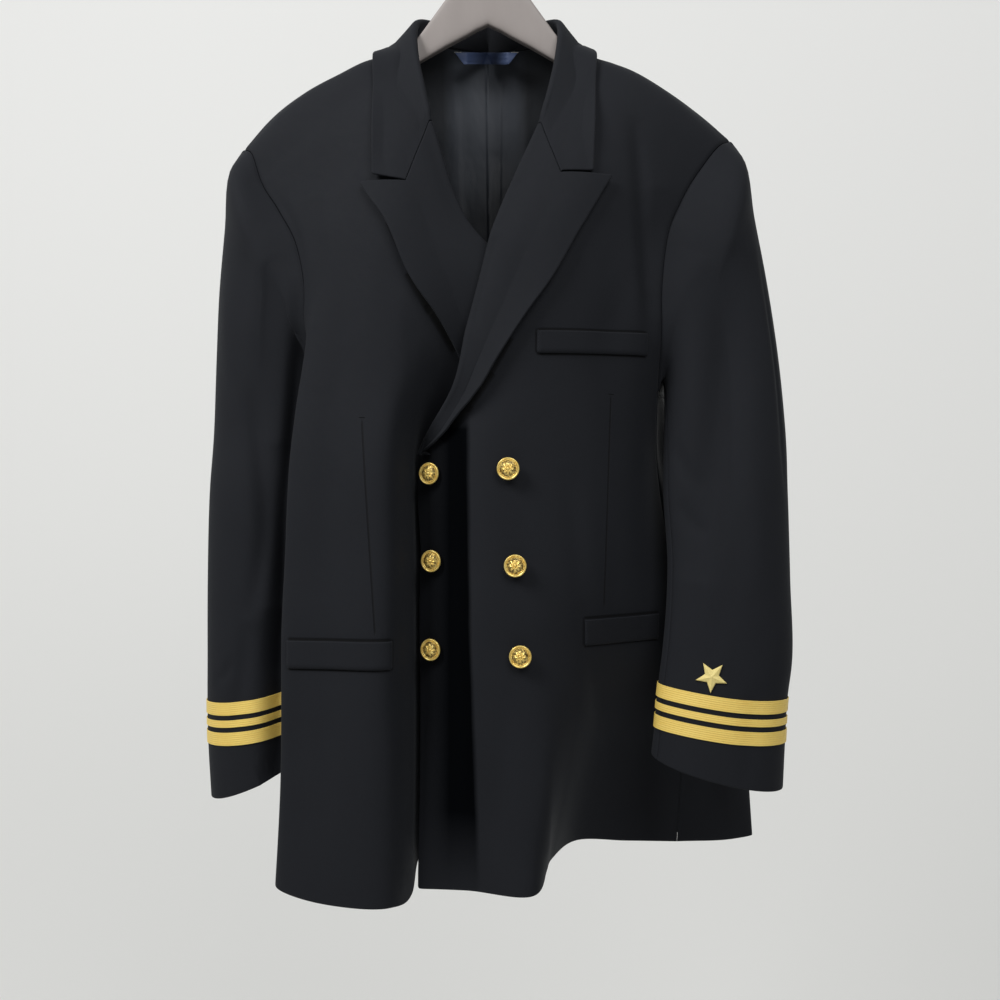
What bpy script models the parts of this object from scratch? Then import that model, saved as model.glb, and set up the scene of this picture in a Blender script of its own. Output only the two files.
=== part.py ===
"""Double-breasted blazer on a hanger: its cut pieces as thin walls at their real size, with its buttons, the
lace round its cuffs and the hanger.

Row frame: metres, +Z up, -Y towards whoever faces the jacket's front, the wearer's left at +X.
The origin is the inside of the hook's crown, where a rail carries it.
"""

import math

import bpy
import numpy as np
from mathutils import Vector
from mathutils.bvhtree import BVHTree

MM = 0.001
CLOTH = 1.8
LAPEL = 2.6
SEAM = 0.3
LIFT = 0.4
LACE = 0.8

COLOURS = {
    "navy_wool": ((0.010, 0.012, 0.018), 0.85, 0.0),
    "navy_satin": ((0.014, 0.017, 0.028), 0.45, 0.0),
    "label_blue": ((0.020, 0.035, 0.090), 0.60, 0.0),
    "gold_lace": ((0.78, 0.54, 0.16), 0.45, 0.6),
    "gilt": ((0.83, 0.58, 0.20), 0.25, 1.0),
    "hanger_grey": ((0.30, 0.28, 0.27), 0.55, 0.0),
    "steel": ((0.60, 0.60, 0.62), 0.25, 1.0),
}

# The fronts, one row for each level from the hem to the shoulder seam. A station is a place on the cloth
# from the free edge round to the seam under the arm (edge, fold, crest, flank, rear, back, seam), given as
# x and y seen from above. Above the armpit the last station is the armhole, and above the lapel's break the
# first is the roll line and then the neck.
FRONT_LEVELS = ("hem", "skirt", "welt_low", "welt_top", "waist", "break", "armpit", "notch", "chest", "bust",
                "gorge", "yoke", "crown", "shoulder")
# Columns: z at the edge, the flank and the seam, then x and y of each station.
LEFT_FRONT = (
    (-1009, -993, -990, -70, -75, -20, -82, 46, -103, 66, -28, 96, 30, 150, 36, 205, 33),
    (-890, -886, -880, -70, -62, -21, -91, 50, -102, 84, -62, 114, -8, 158, 10, 208, 10),
    (-765, -763, -762, -70, -52, -21, -98, 42, -100, 97, -80, 128, -58, 164, -36, 203, -15),
    (-740, -738, -737, -70, -51, -21, -99, 42, -101, 97, -83, 128, -64, 164, -42, 202, -14),
    (-680, -680, -680, -69, -52, -20, -99, 40, -101, 97, -88, 130, -70, 160, -48, 193, -8),
    (-573, -571, -569, -66, -56, -20, -99, 38, -101, 96, -88, 127, -73, 154, -53, 177, -18),
    (-506, -507, -507, -28, -93, -3, -100, 40, -101, 92, -90, 122, -77, 152, -60, 177, -30),
    (-446, -446, -446, -14, -97, 10, -102, 48, -102, 90, -92, 118, -80, 150, -68, 178, -53),
    (-407, -407, -407, -4, -97, 20, -101, 56, -101, 92, -91, 120, -80, 150, -70, 178, -56),
    (-350, -355, -358, 11, -92, 34, -97, 66, -97, 98, -88, 127, -77, 156, -65, 183, -50),
    (-241, -279, -316, 56.5, -63, 76, -71, 102, -75, 128, -72, 152, -64, 176, -53, 197, -41),
    (-180, -210, -276, 84, -30, 100, -38, 120, -44, 145, -45, 169, -41, 194, -34, 220, -25),
    (-147, -173, -243, 91, -10, 108, -14, 130, -17, 158, -18, 189, -17, 219, -14, 246, -9),
    (-139, -169, -236, 93, 6, 116, 6, 140, 6, 168, 6, 199, 5, 231, 5, 258, 4),
)
RIGHT_FRONT = (
    (-1000, -1017, -1003, 35, -52, -69, -46, -76, -72, -95, -109, -165, -104, -210, -84, -214, -62),
    (-900, -903, -898, 35, -60, -68, -32, -76, -66, -94, -108, -160, -101, -206, -83, -204, -64),
    (-784, -785, -784, 35, -66, -70, -34, -76, -61, -95, -108, -160, -99, -205, -84, -203, -66),
    (-757, -758, -757, 35, -68, -70, -34, -76, -61, -95, -108, -160, -99, -205, -84, -202, -66),
    (-680, -680, -680, 35, -72, -70, -35, -76, -61, -95, -108, -157, -98, -202, -83, -196, -64),
    (-573, -572, -570, 36, -76, -69, -38, -76, -63, -95, -106, -152, -97, -197, -80, -186, -58),
    (-506, -507, -507, 36, -76, -50, -66, -72, -90, -93, -102, -146, -92, -190, -70, -170, -38),
    (-446, -443, -440, 34, -77, -36, -82, -70, -93, -92, -98, -138, -90, -178, -73, -187, -58),
    (-400, -405, -408, 26, -78, -32, -86, -67, -93, -92, -95, -133, -89, -168, -75, -187, -60),
    (-340, -350, -360, -25, -76, -54, -84, -78, -89, -101, -90, -136, -83, -168, -70, -196, -51),
    (-238, -278, -318, -61.5, -62, -81, -70, -99, -74, -118, -73, -148, -65, -182, -52, -217, -36),
    (-180, -211, -286, -84, -30, -100, -38, -118, -43, -137, -45, -172, -41, -207, -32, -237, -22),
    (-147, -171, -251, -91, -10, -108, -14, -128, -17, -152, -18, -192, -17, -226, -14, -251, -9),
    (-139, -167, -245, -93, 6, -114, 6, -135, 6, -160, 6, -202, 5, -236, 5, -260, 4),
)
# Z of each station along the two front hems, whose corners hang differently.
LEFT_HEM = (-1009, -1009, -1008, -993, -988, -990, -990)
RIGHT_HEM = (-1001, -984, -1016, -1018, -1015, -1006, -1002)

# The backs, from the hem to the neck and shoulder. Columns: z at the centre, the neck line, the blade and
# the seam, then y at the centre, and x and y of the neck line, the blade and the seam, which is the armhole
# above the armpit.
BACK_LEVELS = ("hem", "skirt", "waist", "flank", "armpit", "blade", "upper", "yoke", "crown", "shoulder")
LEFT_BACK = (
    (-990, -989, -988, -986, 64, 92, 69, 170, 62, 242, 64),
    (-890, -889, -888, -886, 61, 92, 68, 170, 61, 243, 62),
    (-700, -700, -700, -700, 57, 90, 66, 164, 60, 232, 58),
    (-571, -571, -571, -571, 55, 86, 66, 152, 60, 210, 46),
    (-508, -508, -508, -508, 55, 84, 66, 142, 60, 193, 40),
    (-430, -432, -434, -436, 55, 88, 66, 147, 62, 192, 50),
    (-330, -336, -342, -350, 55, 92, 62, 160, 57, 216, 42),
    (-215, -228, -244, -285, 53, 95, 50, 175, 42, 243, 24),
    (-150, -153, -186, -248, 51, 94, 26, 178, 22, 254, 14),
    (-128, -139, -172, -237, 49, 93, 6, 175, 6, 258, 4),
)
RIGHT_BACK = (
    (-990, -989, -992, -996, 64, -82, 69, -140, 62, -190, 58),
    (-890, -889, -892, -896, 61, -82, 68, -136, 61, -176, 54),
    (-700, -700, -700, -700, 57, -82, 66, -130, 60, -168, 50),
    (-571, -571, -571, -571, 55, -82, 66, -130, 60, -168, 46),
    (-508, -508, -508, -508, 55, -82, 66, -132, 60, -168, 38),
    (-430, -432, -434, -436, 55, -86, 66, -143, 62, -191, 50),
    (-330, -336, -342, -350, 55, -92, 62, -160, 57, -220, 42),
    (-215, -228, -246, -290, 53, -95, 50, -175, 42, -246, 24),
    (-150, -153, -188, -258, 51, -94, 26, -178, 22, -256, 14),
    (-128, -139, -174, -247, 49, -93, 6, -175, 6, -260, 4),
)

# The panels under the arms, from the hem to the armhole. Columns: the level's name in the fronts' tables,
# the same in the backs', then x and y of two stations between the seams, the side and the hollow.
LEFT_SIDE = (
    ("hem", "hem", 266, 38, 290, 50),
    ("skirt", "skirt", 258, 20, 282, 42),
    ("welt_top", "waist", 242, 4, 262, 34),
    ("break", "flank", 183, 5, 202, 27),
    ("armpit", "armpit", 180, -8, 187, 16),
)
RIGHT_SIDE = (
    ("hem", "hem", -220, -22, -210, 26),
    ("skirt", "skirt", -158, -46, -148, 6),
    ("welt_top", "waist", -156, -48, -145, 2),
    ("break", "flank", -156, -40, -145, 4),
    ("armpit", "armpit", -159, -10, -160, 16),
)

# The sleeves, as rings from just past the armhole to the cuff (head, cap, upper, biceps, above the elbow,
# elbow, forearm, wrist, lace top, lace foot, cuff). Columns: x and z of the ring's inner point and of its
# outer point, then y of its centre, half its depth, and how far its front hangs below its middle.
LEFT_SLEEVE = (
    (184, -499, 272, -261, 1, 58, 0),
    (185, -495, 281, -318, -1, 57, 0),
    (185, -496, 293, -385, -5, 55, 0),
    (185, -505, 303, -460, -13, 51, 0),
    (184, -532, 309, -540, -24, 47, 0),
    (181, -605, 309, -610, -38, 43, 0),
    (184, -690, 309, -700, -50, 40, 0),
    (178, -770, 309, -784, -58, 38, 0),
    (173, -808, 304, -820, -60, 37, 1),
    (169, -850, 301, -866, -62, 36, 4),
    (166, -876, 299, -908, -62, 36, 8),
)
RIGHT_SLEEVE = (
    (-173, -499, -273, -270, 1, 57, 0),
    (-174, -497, -279, -330, 4, 56, 0),
    (-174, -498, -285, -395, 5, 53, 0),
    (-174, -505, -288, -465, 4, 49, 0),
    (-170, -530, -290, -540, 1, 46, 0),
    (-158, -600, -293, -610, -8, 44, 0),
    (-158, -690, -295, -700, -9, 43, 0),
    (-159, -770, -295, -790, -10, 42, 0),
    (-160, -812, -295, -829, -10, 42, 1),
    (-161, -837, -294, -875, -10, 41, 5),
    (-161, -864, -291, -927, -10, 40, 12),
)

# The lapels, from the break up to the gorge. Columns: x and z of the roll line, of the line through the
# notch, and of the free edge, then how far the free edge stands off the front.
LEFT_LAPEL = (
    (-69, -571, -67, -572, -64.5, -573, 4),
    (-56, -556, -51, -558, -46, -559, 5),
    (-42, -528, -28, -527, -15, -524, 9),
    (-31, -490, -10, -486, 11, -480, 10),
    (-21, -446, 8, -444, 36, -440, 9),
    (-8, -396, 26, -402, 61, -403, 7),
    (8, -343, 48, -352, 88, -355, 5),
    (26, -300, 64, -318, 108, -321, 4),
    (51, -242, 73, -293.5, 124, -294.5, 4),
)
RIGHT_LAPEL = (
    (33, -566, 30, -568, 27, -571, 3),
    (22, -530, 14, -534, 6, -538, 4),
    (10, -480, -6, -486, -24, -484, 6),
    (2, -440, -22, -448, -48, -443, 8),
    (-14, -370, -44, -392, -78, -398, 8),
    (-32, -306, -64, -338, -102, -341, 7),
    (-48, -262, -74, -308, -119, -315, 5),
    (-55, -239, -82, -301, -126.5, -301.5, 4),
)

# The collar, from the gorge round to the back of the neck. Columns: how far along the neck (0 the gorge, 1
# the shoulder, 2 the centre back), then x, y and z of the fold's crest, of a line down the fall, and of its
# free edge.
LEFT_COLLAR = (
    (0.00, 51, -69, -239, 73, -84, -292, 106, -84, -290.5),
    (0.35, 63, -50, -193, 84, -62, -236, 109, -72, -240),
    (0.70, 71, -26, -150, 92, -38, -188, 111, -46, -196),
    (1.00, 74, 2, -111, 95, -2, -138, 113, -10, -151),
    (1.40, 58, 32, -99, 78, 40, -127, 92, 46, -156),
    (2.00, 0, 46, -93, 0, 58, -120, 0, 60, -148),
)
RIGHT_COLLAR = (
    (0.00, -55, -68, -236, -82, -84, -300, -115.5, -84, -294),
    (0.35, -65, -50, -193, -90, -62, -236, -117, -72, -246),
    (0.70, -73, -26, -151, -97, -38, -188, -118, -46, -198),
    (1.00, -75, 2, -111, -98, -2, -138, -119, -10, -153),
    (1.40, -58, 32, -99, -80, 40, -127, -96, 46, -158),
    (2.00, 0, 46, -93, 0, 58, -120, 0, 60, -148),
)

# The lace round each cuff. Columns: how far the band's middle lies below the lace's top edge, and its
# width.
LACE_BANDS = ((6.65, 13.3), (22.1, 7.5), (37.65, 13.5))
# Z of that top edge at the sleeve's inner side and at its outer side, and how far it dips across the front.
LACE_TOP = {"left": (-803.5, -817.5, 4), "right": (-804, -827, 5)}

# The buttons. Columns: x and z of the middle, then how far the face turns towards the wearer's right.
BUTTONS = {
    "button_left_1": (21, -588, 4), "button_left_2": (28, -683, 4), "button_left_3": (33, -772, 4),
    "button_right_1": (-55.5, -592, 26), "button_right_2": (-53.5, -680, 26), "button_right_3": (-54, -769, 26),
}

# A button's radius and height above the cloth, from the foot of its shank to the middle of its face.
BUTTON_PROFILE = ((2.0, 0.0), (2.0, 4.6), (10.2, 5.2), (11.1, 6.2), (10.4, 7.4), (8.6, 7.7), (5.0, 8.9),
                  (0.0, 9.3))
BUTTON_SIDES = 12

# The stars, which stand on one point. Columns: x, y and z of the middle, how many degrees it faces round
# from the front towards -X, the radius at the points, the lean of the lowest point to the wearer's left in
# degrees, and how far the star stands off the sleeve. The notches lie at STAR_NOTCH of the radius.
STARS = {"star_left": (222, -98, -793.5, 0, 16, -5, 0.7), "star_right": (-279, 16, -811, 142, 16, 5, 1.4)}
STAR_REACH = 60
STAR_NOTCH = 0.44
STAR_CREST = 2.9
STAR_SLOPE = 2.0
STAR_RINGS = (0.35, 0.7, 1.0)

# The bare label on the lining. Columns: z at its middle, and x of its two ends.
LABEL = ((-143, -26, 22), (-137, -31, 27), (-131, -36, 32))
# The label's ends hang lower, by this share of how far they stand forward of its middle.
LABEL_FALL = 0.34

WELT_WALL = 1.8
WELT_STEPS = 16
# The welts. Columns: x and z of the top line's two ends, the welt's depth, and how far it stands off.
WELTS = {
    "breast_welt": ("left", 49, -452, 161, -450, 21.5, 1.6),
    "welt_left": ("left", 97, -738, 176, -736, 26, 1.0),
    "welt_right": ("right", -198, -758, -94, -757, 27, 1.6),
}

# The hanger. Columns: x, z of the top and of the underside, and how thick it is from front to back.
HANGER = (
    (0, -57, -115.5, 14), (13, -59, -121.5, 14), (26, -68, -129, 14), (45, -89, -139, 14),
    (70.5, -124, -153.7, 11.5), (91, -150, -167, 15), (111, -151, -176, 18), (157, -168, -200, 26),
    (194, -186, -220, 28), (206, -197, -226, 22), (211, -207, -223, 12),
)
# The hanger bears on the shoulders beyond this x, with this gap to the cloth over it, and the shoulders lie
# no more than the reach below its own line.
HANGER_BEARING = 85
HANGER_GAP = 0.7
HANGER_REACH = 25
HANGER_SIDES = 12

# The hook's wire. Columns: x and z of its middle.
HOOK_WIRE = 2.4
HOOK_SIDES = 8
HOOK_STEPS = 22
HOOK = ((0, -76), (0, -54), (8, -41), (18.5, -29), (20.4, -18), (14.5, -3.5), (0, 2.4), (-14.5, -3.5),
        (-20.4, -18), (-19, -26))


def spline_weights(knots, places):
    """How much of each knot's value a smooth curve through the knots takes at each place."""
    knots = np.asarray(knots, float)
    count = len(knots)
    slopes = np.zeros((count, count))
    steps = np.diff(knots)
    for k in range(count):
        if k in (0, count - 1):
            a = min(k, count - 2)
            slopes[k, a] -= 1 / steps[a]
            slopes[k, a + 1] += 1 / steps[a]
            continue
        before, after = steps[k - 1], steps[k]
        slopes[k, k - 1] -= after / before / (before + after)
        slopes[k, k] += (after / before - before / after) / (before + after)
        slopes[k, k + 1] += before / after / (before + after)
    weights = np.zeros((len(places), count))
    for row, place in enumerate(places):
        k = int(np.clip(np.searchsorted(knots, place, side="right") - 1, 0, count - 2))
        h = steps[k]
        t = (place - knots[k]) / h
        weights[row, k] += 2 * t**3 - 3 * t**2 + 1
        weights[row, k + 1] += 3 * t**2 - 2 * t**3
        weights[row] += (t**3 - 2 * t**2 + t) * h * slopes[k]
        weights[row] += (t**3 - t**2) * h * slopes[k + 1]
    return weights


def curve(points, places, knots=None):
    """A smooth curve through the points, sampled at places from 0 to 1."""
    points = np.asarray(points, float)
    if knots is None:
        knots = np.concatenate(([0], np.cumsum(np.linalg.norm(np.diff(points, axis=0), axis=1))))
        knots = knots / knots[-1]
    return spline_weights(knots, places) @ points


class Cloth:
    """A smooth surface through a net of points: rows go up from the hem, columns go across."""

    def __init__(self, net):
        self.net = np.asarray(net, float)
        rise = np.linalg.norm(np.diff(self.net, axis=0), axis=2).mean(axis=1)
        run = np.linalg.norm(np.diff(self.net, axis=1), axis=2).mean(axis=0)
        self.up = np.concatenate(([0], np.cumsum(rise))) / rise.sum()
        self.across = np.concatenate(([0], np.cumsum(run))) / run.sum()

    def grid(self, across, up):
        part = np.einsum("vr,rcx->vcx", spline_weights(self.up, up), self.net)
        return np.einsum("uc,vcx->vux", spline_weights(self.across, across), part)

    def column(self, across, up):
        return self.grid([across], up)[:, 0]


def front_cloth(rows, hem):
    """The front's surface from its table."""
    net = []
    for row in rows:
        z = spline_weights([0, 3, 6], range(7)) @ np.array(row[:3])
        net.append([(row[3 + 2 * k], row[4 + 2 * k], z[k]) for k in range(7)])
    for k in range(7):
        net[0][k] = (net[0][k][0], net[0][k][1], hem[k])
    return Cloth(net)


def back_cloth(rows):
    """The back's surface from its table."""
    net = []
    for z0, z1, z2, z3, y0, x1, y1, x2, y2, x3, y3 in rows:
        net.append([(0, y0, z0), (x1, y1, z1), (x2, y2, z2), (x3, y3, z3)])
    return Cloth(net)


def level(cloth, levels, name):
    """Where a named level lies between the hem and the top."""
    return cloth.up[levels.index(name)]


def facing(grid, sign, wrap=False):
    """The outward directions of a grid of points."""
    along = np.gradient(grid, axis=0)
    if wrap:
        ring = np.concatenate((grid[:, -1:], grid, grid[:, :1]), axis=1)
        across = (ring[:, 2:] - ring[:, :-2]) / 2
    else:
        across = np.gradient(grid, axis=1)
    out = np.cross(across, along) * sign
    return out / np.linalg.norm(out, axis=2, keepdims=True)


def unit(vectors):
    return vectors / np.linalg.norm(vectors, axis=-1, keepdims=True)


def share(one, other):
    """Two edges that meet along a seam take the same directions."""
    both = unit(one + other)
    one[:] = both
    other[:] = both


def draw_in(grid, by=0.6 * SEAM, left=True, right=True, low=False, high=False):
    """The grid with its edges drawn back from the seam lines."""
    grid = grid.copy()
    if left:
        grid[:, 0] += by * unit(grid[:, 1] - grid[:, 0])
    if right:
        grid[:, -1] += by * unit(grid[:, -2] - grid[:, -1])
    if low:
        grid[0] += by * unit(grid[1] - grid[0])
    if high:
        grid[-1] += by * unit(grid[-2] - grid[-1])
    return grid


def material(name):
    made = bpy.data.materials.get(name)
    if made is None:
        made = bpy.data.materials.new(name)
        made.use_nodes = True
        shader = made.node_tree.nodes["Principled BSDF"]
        colour, rough, metal = COLOURS[name]
        shader.inputs["Base Color"].default_value = (*colour, 1)
        shader.inputs["Roughness"].default_value = rough
        shader.inputs["Metallic"].default_value = metal
    return made


def solid(name, points, faces, look):
    """One closed body, its points in millimetres."""
    points = np.asarray(points, float) * MM
    corners = []
    for face in faces:
        corners += [points[[face[0], face[i], face[i + 1]]] for i in range(1, len(face) - 1)]
    corners = np.array(corners)
    volume = np.einsum("ij,ij->i", corners[:, 0], np.cross(corners[:, 1], corners[:, 2])).sum()
    if volume < 0:
        faces = [tuple(reversed(face)) for face in faces]
    mesh = bpy.data.meshes.new(name)
    mesh.from_pydata([tuple(p) for p in points], [], faces)
    mesh.update()
    made = bpy.data.objects.new(name, mesh)
    made.data.materials.append(material(look))
    bpy.context.scene.collection.objects.link(made)
    return made


def split(faces):
    """Each four-cornered face as two triangles from its first corner, so that nearby walls fold alike."""
    return [corners for a, b, c, d in faces for corners in ((a, b, c), (a, c, d))]


def slab(name, outer, inner, look, wrap=False, mirrored=0):
    """The closed wall between two grids of points. The first columns may be split the other way."""
    rows, columns = outer.shape[:2]
    count = rows * columns
    points = np.concatenate((outer.reshape(-1, 3), inner.reshape(-1, 3)))

    def at(r, c, layer):
        return layer * count + r * columns + c % columns

    faces = []
    for r in range(rows - 1):
        for c in range(columns if wrap else columns - 1):
            first = [at(r, c, 0), at(r, c + 1, 0), at(r + 1, c + 1, 0), at(r + 1, c, 0)]
            second = [at(r, c, 1), at(r + 1, c, 1), at(r + 1, c + 1, 1), at(r, c + 1, 1)]
            turns = 1 if c < mirrored else 0
            faces += [first[turns:] + first[:turns], second[turns:] + second[:turns]]
    top, last = rows - 1, columns - 1
    for c in range(columns if wrap else last):
        faces.append((at(0, c, 0), at(0, c, 1), at(0, c + 1, 1), at(0, c + 1, 0)))
        faces.append((at(top, c, 0), at(top, c + 1, 0), at(top, c + 1, 1), at(top, c, 1)))
    if not wrap:
        for r in range(top):
            faces.append((at(r, 0, 0), at(r + 1, 0, 0), at(r + 1, 0, 1), at(r, 0, 1)))
            faces.append((at(r, last, 0), at(r, last, 1), at(r + 1, last, 1), at(r + 1, last, 0)))
    return solid(name, points, split(faces), look)


def skin(*grids):
    """A surface to measure from, made of grids and the sign that turns each one outwards."""
    points, faces = [], []
    for grid, sign in grids:
        start = len(points)
        rows, columns = grid.shape[:2]
        points += [tuple(p) for p in grid.reshape(-1, 3)]
        for r in range(rows - 1):
            for c in range(columns - 1):
                a = start + r * columns + c
                quad = (a, a + 1, a + columns + 1, a + columns)
                faces.append(quad if sign > 0 else tuple(reversed(quad)))
    return BVHTree.FromPolygons(points, faces)


def lying_on(cover, points, heights):
    """The points moved to stand the given heights off a surface."""
    out = []
    for point, height in zip(points, heights):
        place, normal, _, _ = cover.find_nearest(Vector(point))
        out.append(place + normal * height)
    return np.array(out)


def kept_off(cover, points, gap):
    """The points, with those nearer than the gap moved out to it."""
    out = []
    for point in points:
        place, normal, _, _ = cover.find_nearest(Vector(point))
        away = Vector(point) - place
        height = away.dot(normal)
        beside = (away - normal * height).length
        if height < gap and beside < 1:
            out.append(place + normal * gap)
        else:
            out.append(Vector(point))
    return np.array(out)


def seen_on(cover, x, z):
    """The place on a surface straight behind x and z, and its outward direction."""
    place, normal, _, _ = cover.ray_cast(Vector((x, -400, z)), Vector((0, 1, 0)))
    if place is None:
        place, normal, _, _ = cover.find_nearest(Vector((x, -75, z)))
    return np.array(place), np.array(normal)


LEFT = {"sign": 1, "front": front_cloth(LEFT_FRONT, LEFT_HEM), "back": back_cloth(LEFT_BACK)}
RIGHT = {"sign": -1, "front": front_cloth(RIGHT_FRONT, RIGHT_HEM), "back": back_cloth(RIGHT_BACK)}
# How many rows of facets each stretch of the panels takes, and how many columns.
SKIRT_ROWS = 9
ARM_ROWS = 2
CHEST_ROWS = 7
NECK_ROWS = 4
LOW_ROWS = SKIRT_ROWS + ARM_ROWS + 1
HIGH_ROWS = CHEST_ROWS + NECK_ROWS
FRONT_STEPS = 14
NECK_COLUMNS = 4
SHOULDER_COLUMNS = 7
SIDE_COLUMNS = 5
RING_POINTS = 2 * HIGH_ROWS + SIDE_COLUMNS - 1


def stretches(places, counts):
    """Places in even steps between the given ones."""
    out = [places[0]]
    for low, high, count in zip(places, places[1:], counts):
        out += list(np.linspace(low, high, count + 1)[1:])
    return np.array(out)


def body_side(half, side_rows):
    """The points of one half's front, side and back, and their outward directions."""
    front, back, sign = half["front"], half["back"], half["sign"]
    arm_back = level(back, BACK_LEVELS, "armpit")
    marks = [0] + [level(front, FRONT_LEVELS, name) for name in ("break", "armpit", "gorge")] + [1]
    front_up = stretches(marks, (SKIRT_ROWS, ARM_ROWS, CHEST_ROWS, NECK_ROWS))
    front_grid = front.grid(np.linspace(0, 1, FRONT_STEPS + 1), front_up)
    front_seam = front_grid[:LOW_ROWS, -1]
    share_up = (front_seam[:, 2] - front_seam[0, 2]) / (front_seam[-1, 2] - front_seam[0, 2])
    fine = np.linspace(0, arm_back, 200)
    seam_z = back.column(1, fine)[:, 2]
    back_low = np.interp(share_up, (seam_z - seam_z[0]) / (seam_z[-1] - seam_z[0]), fine)
    back_up = np.concatenate((back_low, np.linspace(arm_back, 1, HIGH_ROWS + 1)[1:]))
    neck = back.across[1]
    back_across = stretches((0, neck, 1), (NECK_COLUMNS, SHOULDER_COLUMNS))
    back_grid = back.grid(back_across, back_up)
    on_shoulder = np.clip((back_across - neck) / (1 - neck), 0, 1)
    target = front.grid(on_shoulder, [1])[0]
    target[back_across < neck] = back_grid[-1, back_across < neck]
    near_top = np.clip((back_up - back.up[-3]) / (1 - back.up[-3]), 0, 1)
    back_grid += (near_top**2)[:, None, None] * (target - back_grid[-1])[None]
    knots = [back.up[BACK_LEVELS.index(row[1])] / arm_back for row in side_rows]
    mid = spline_weights(knots, back_low / arm_back) @ np.array([row[2:] for row in side_rows], float)
    back_seam = back_grid[:LOW_ROWS, -1]
    side_grid = []
    for r in range(LOW_ROWS):
        z = np.linspace(front_seam[r, 2], back_seam[r, 2], 4)
        points = [front_seam[r], (mid[r, 0], mid[r, 1], z[1]), (mid[r, 2], mid[r, 3], z[2]), back_seam[r]]
        side_grid.append(curve(points, np.linspace(0, 1, SIDE_COLUMNS)))
    side_grid = np.array(side_grid)
    front_out = facing(front_grid, sign)
    side_out = facing(side_grid, sign)
    back_out = facing(back_grid, -sign)
    share(front_out[:LOW_ROWS, -1], side_out[:, 0])
    share(side_out[:, -1], back_out[:LOW_ROWS, -1])
    share(front_out[-1, ::FRONT_STEPS // SHOULDER_COLUMNS], back_out[-1, NECK_COLUMNS:])
    on_back = np.arange(FRONT_STEPS + 1) * SHOULDER_COLUMNS / FRONT_STEPS
    for k in range(3):
        shoulder_out = back_out[-1, NECK_COLUMNS:, k]
        front_out[-1, :, k] = np.interp(on_back, np.arange(SHOULDER_COLUMNS + 1), shoulder_out)
    back_out[:, 0, 0] = 0
    back_out = unit(back_out)
    half.update(front_grid=front_grid, side_grid=side_grid, back_grid=back_grid, front_out=front_out,
                side_out=side_out, back_out=back_out)
    off_front = unit(front_grid[:, -1] - front_grid[:, -2])
    off_back = unit(back_grid[:, -1] - back_grid[:, -2])
    off_side = unit(side_grid[-1] - side_grid[-2])
    off_side[0] = unit(off_side[0] + off_front[LOW_ROWS - 1])
    off_side[-1] = unit(off_side[-1] + off_back[LOW_ROWS - 1])
    off_front[LOW_ROWS - 1], off_back[LOW_ROWS - 1] = off_side[0], off_side[-1]
    half.update(front_away=off_front[:, None], back_away=off_back[:, None], side_away=off_side[None])
    half["front_skin"] = skin((front_grid, sign))


def make_body(half, name):
    for panel, edges in (("front", (False, True)), ("side", (True, True)), ("back", (True, True))):
        grid = half[panel + "_grid"]
        out = half[panel + "_out"]
        outer = draw_in(grid, left=edges[0], right=edges[1], high=True)
        slab(panel + "_" + name, outer, outer - CLOTH * out, "navy_wool")


# The roll: how far the turned cloth runs before it turns, and the radius inside the turn.
LEAD = 1.5
ROLL = 1.5
TURN_STEPS = 3
GORGE_STEPS = 4
REVERS_STEPS = 4
STAND_STEPS = 3


def turn(start, inward, outward, radius, steps):
    """Points round a half turn that starts at a point, goes out along inward and comes back above it."""
    centre = start + radius * outward
    angles = np.linspace(0, math.pi, steps + 1)
    return [centre + radius * (inward * math.sin(a) - outward * math.cos(a)) for a in angles]


def edge_frame(grid, out):
    """Directions off the grid's first column: away from the panel, and outwards."""
    outward = out[:, 0]
    away = grid[:, 0] - grid[:, 1]
    away = away - outward * np.einsum("ij,ij->i", away, outward)[:, None]
    return unit(away), outward


def make_lapel(half, rows, name):
    """The lapel: a half turn off the front's edge, then a leaf lying over the front."""
    low, high = SKIRT_ROWS, SKIRT_ROWS + ARM_ROWS + CHEST_ROWS + 1
    edges = half["front_grid"][low:high, 0]
    away, outward = edge_frame(half["front_grid"][low:high], half["front_out"][low:high])
    table = np.array(rows, float)
    knots = (table[:, 1] - table[0, 1]) / (table[-1, 1] - table[0, 1])
    places = (edges[:, 2] - edges[0, 2]) / (edges[-1, 2] - edges[0, 2])
    table = spline_weights(knots, places) @ table
    cover = half["front_skin"]
    leaf = []
    for r, numbers in enumerate(table):
        start = edges[r] + away[r] * 2 * SEAM
        bend = turn(start + away[r] * LEAD, away[r], outward[r], ROLL, TURN_STEPS)
        middle = seen_on(cover, numbers[2], numbers[3])[0]
        edge = seen_on(cover, numbers[4], numbers[5])[0]
        near = bend[-1] + (middle - bend[-1]) * np.linspace(0, 1, GORGE_STEPS + 1)[1:, None]
        far = middle + (edge - middle) * np.linspace(0, 1, REVERS_STEPS + 1)[1:, None]
        heights = np.concatenate((np.linspace(2 * ROLL, 2.2, GORGE_STEPS + 1)[1:],
                                  np.linspace(2.2, numbers[6], REVERS_STEPS + 1)[1:]))
        leaf.append(np.concatenate(([start], bend, lying_on(cover, np.concatenate((near, far)), heights))))
    under = np.array(leaf)
    half["lapel_under"] = under
    half["lapel_out"] = facing(under, half["sign"])
    slab("lapel_" + name, under + LAPEL * half["lapel_out"], under, "navy_wool")


def halfway(points):
    """The points with one more in the middle of each step."""
    out = np.repeat(points, 2, axis=0)[:-1]
    out[1::2] = (points[1:] + points[:-1]) / 2
    return out


def length_shares(points):
    lengths = np.concatenate(([0], np.cumsum(np.linalg.norm(np.diff(points, axis=0), axis=1))))
    return lengths / lengths[-1]


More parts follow.
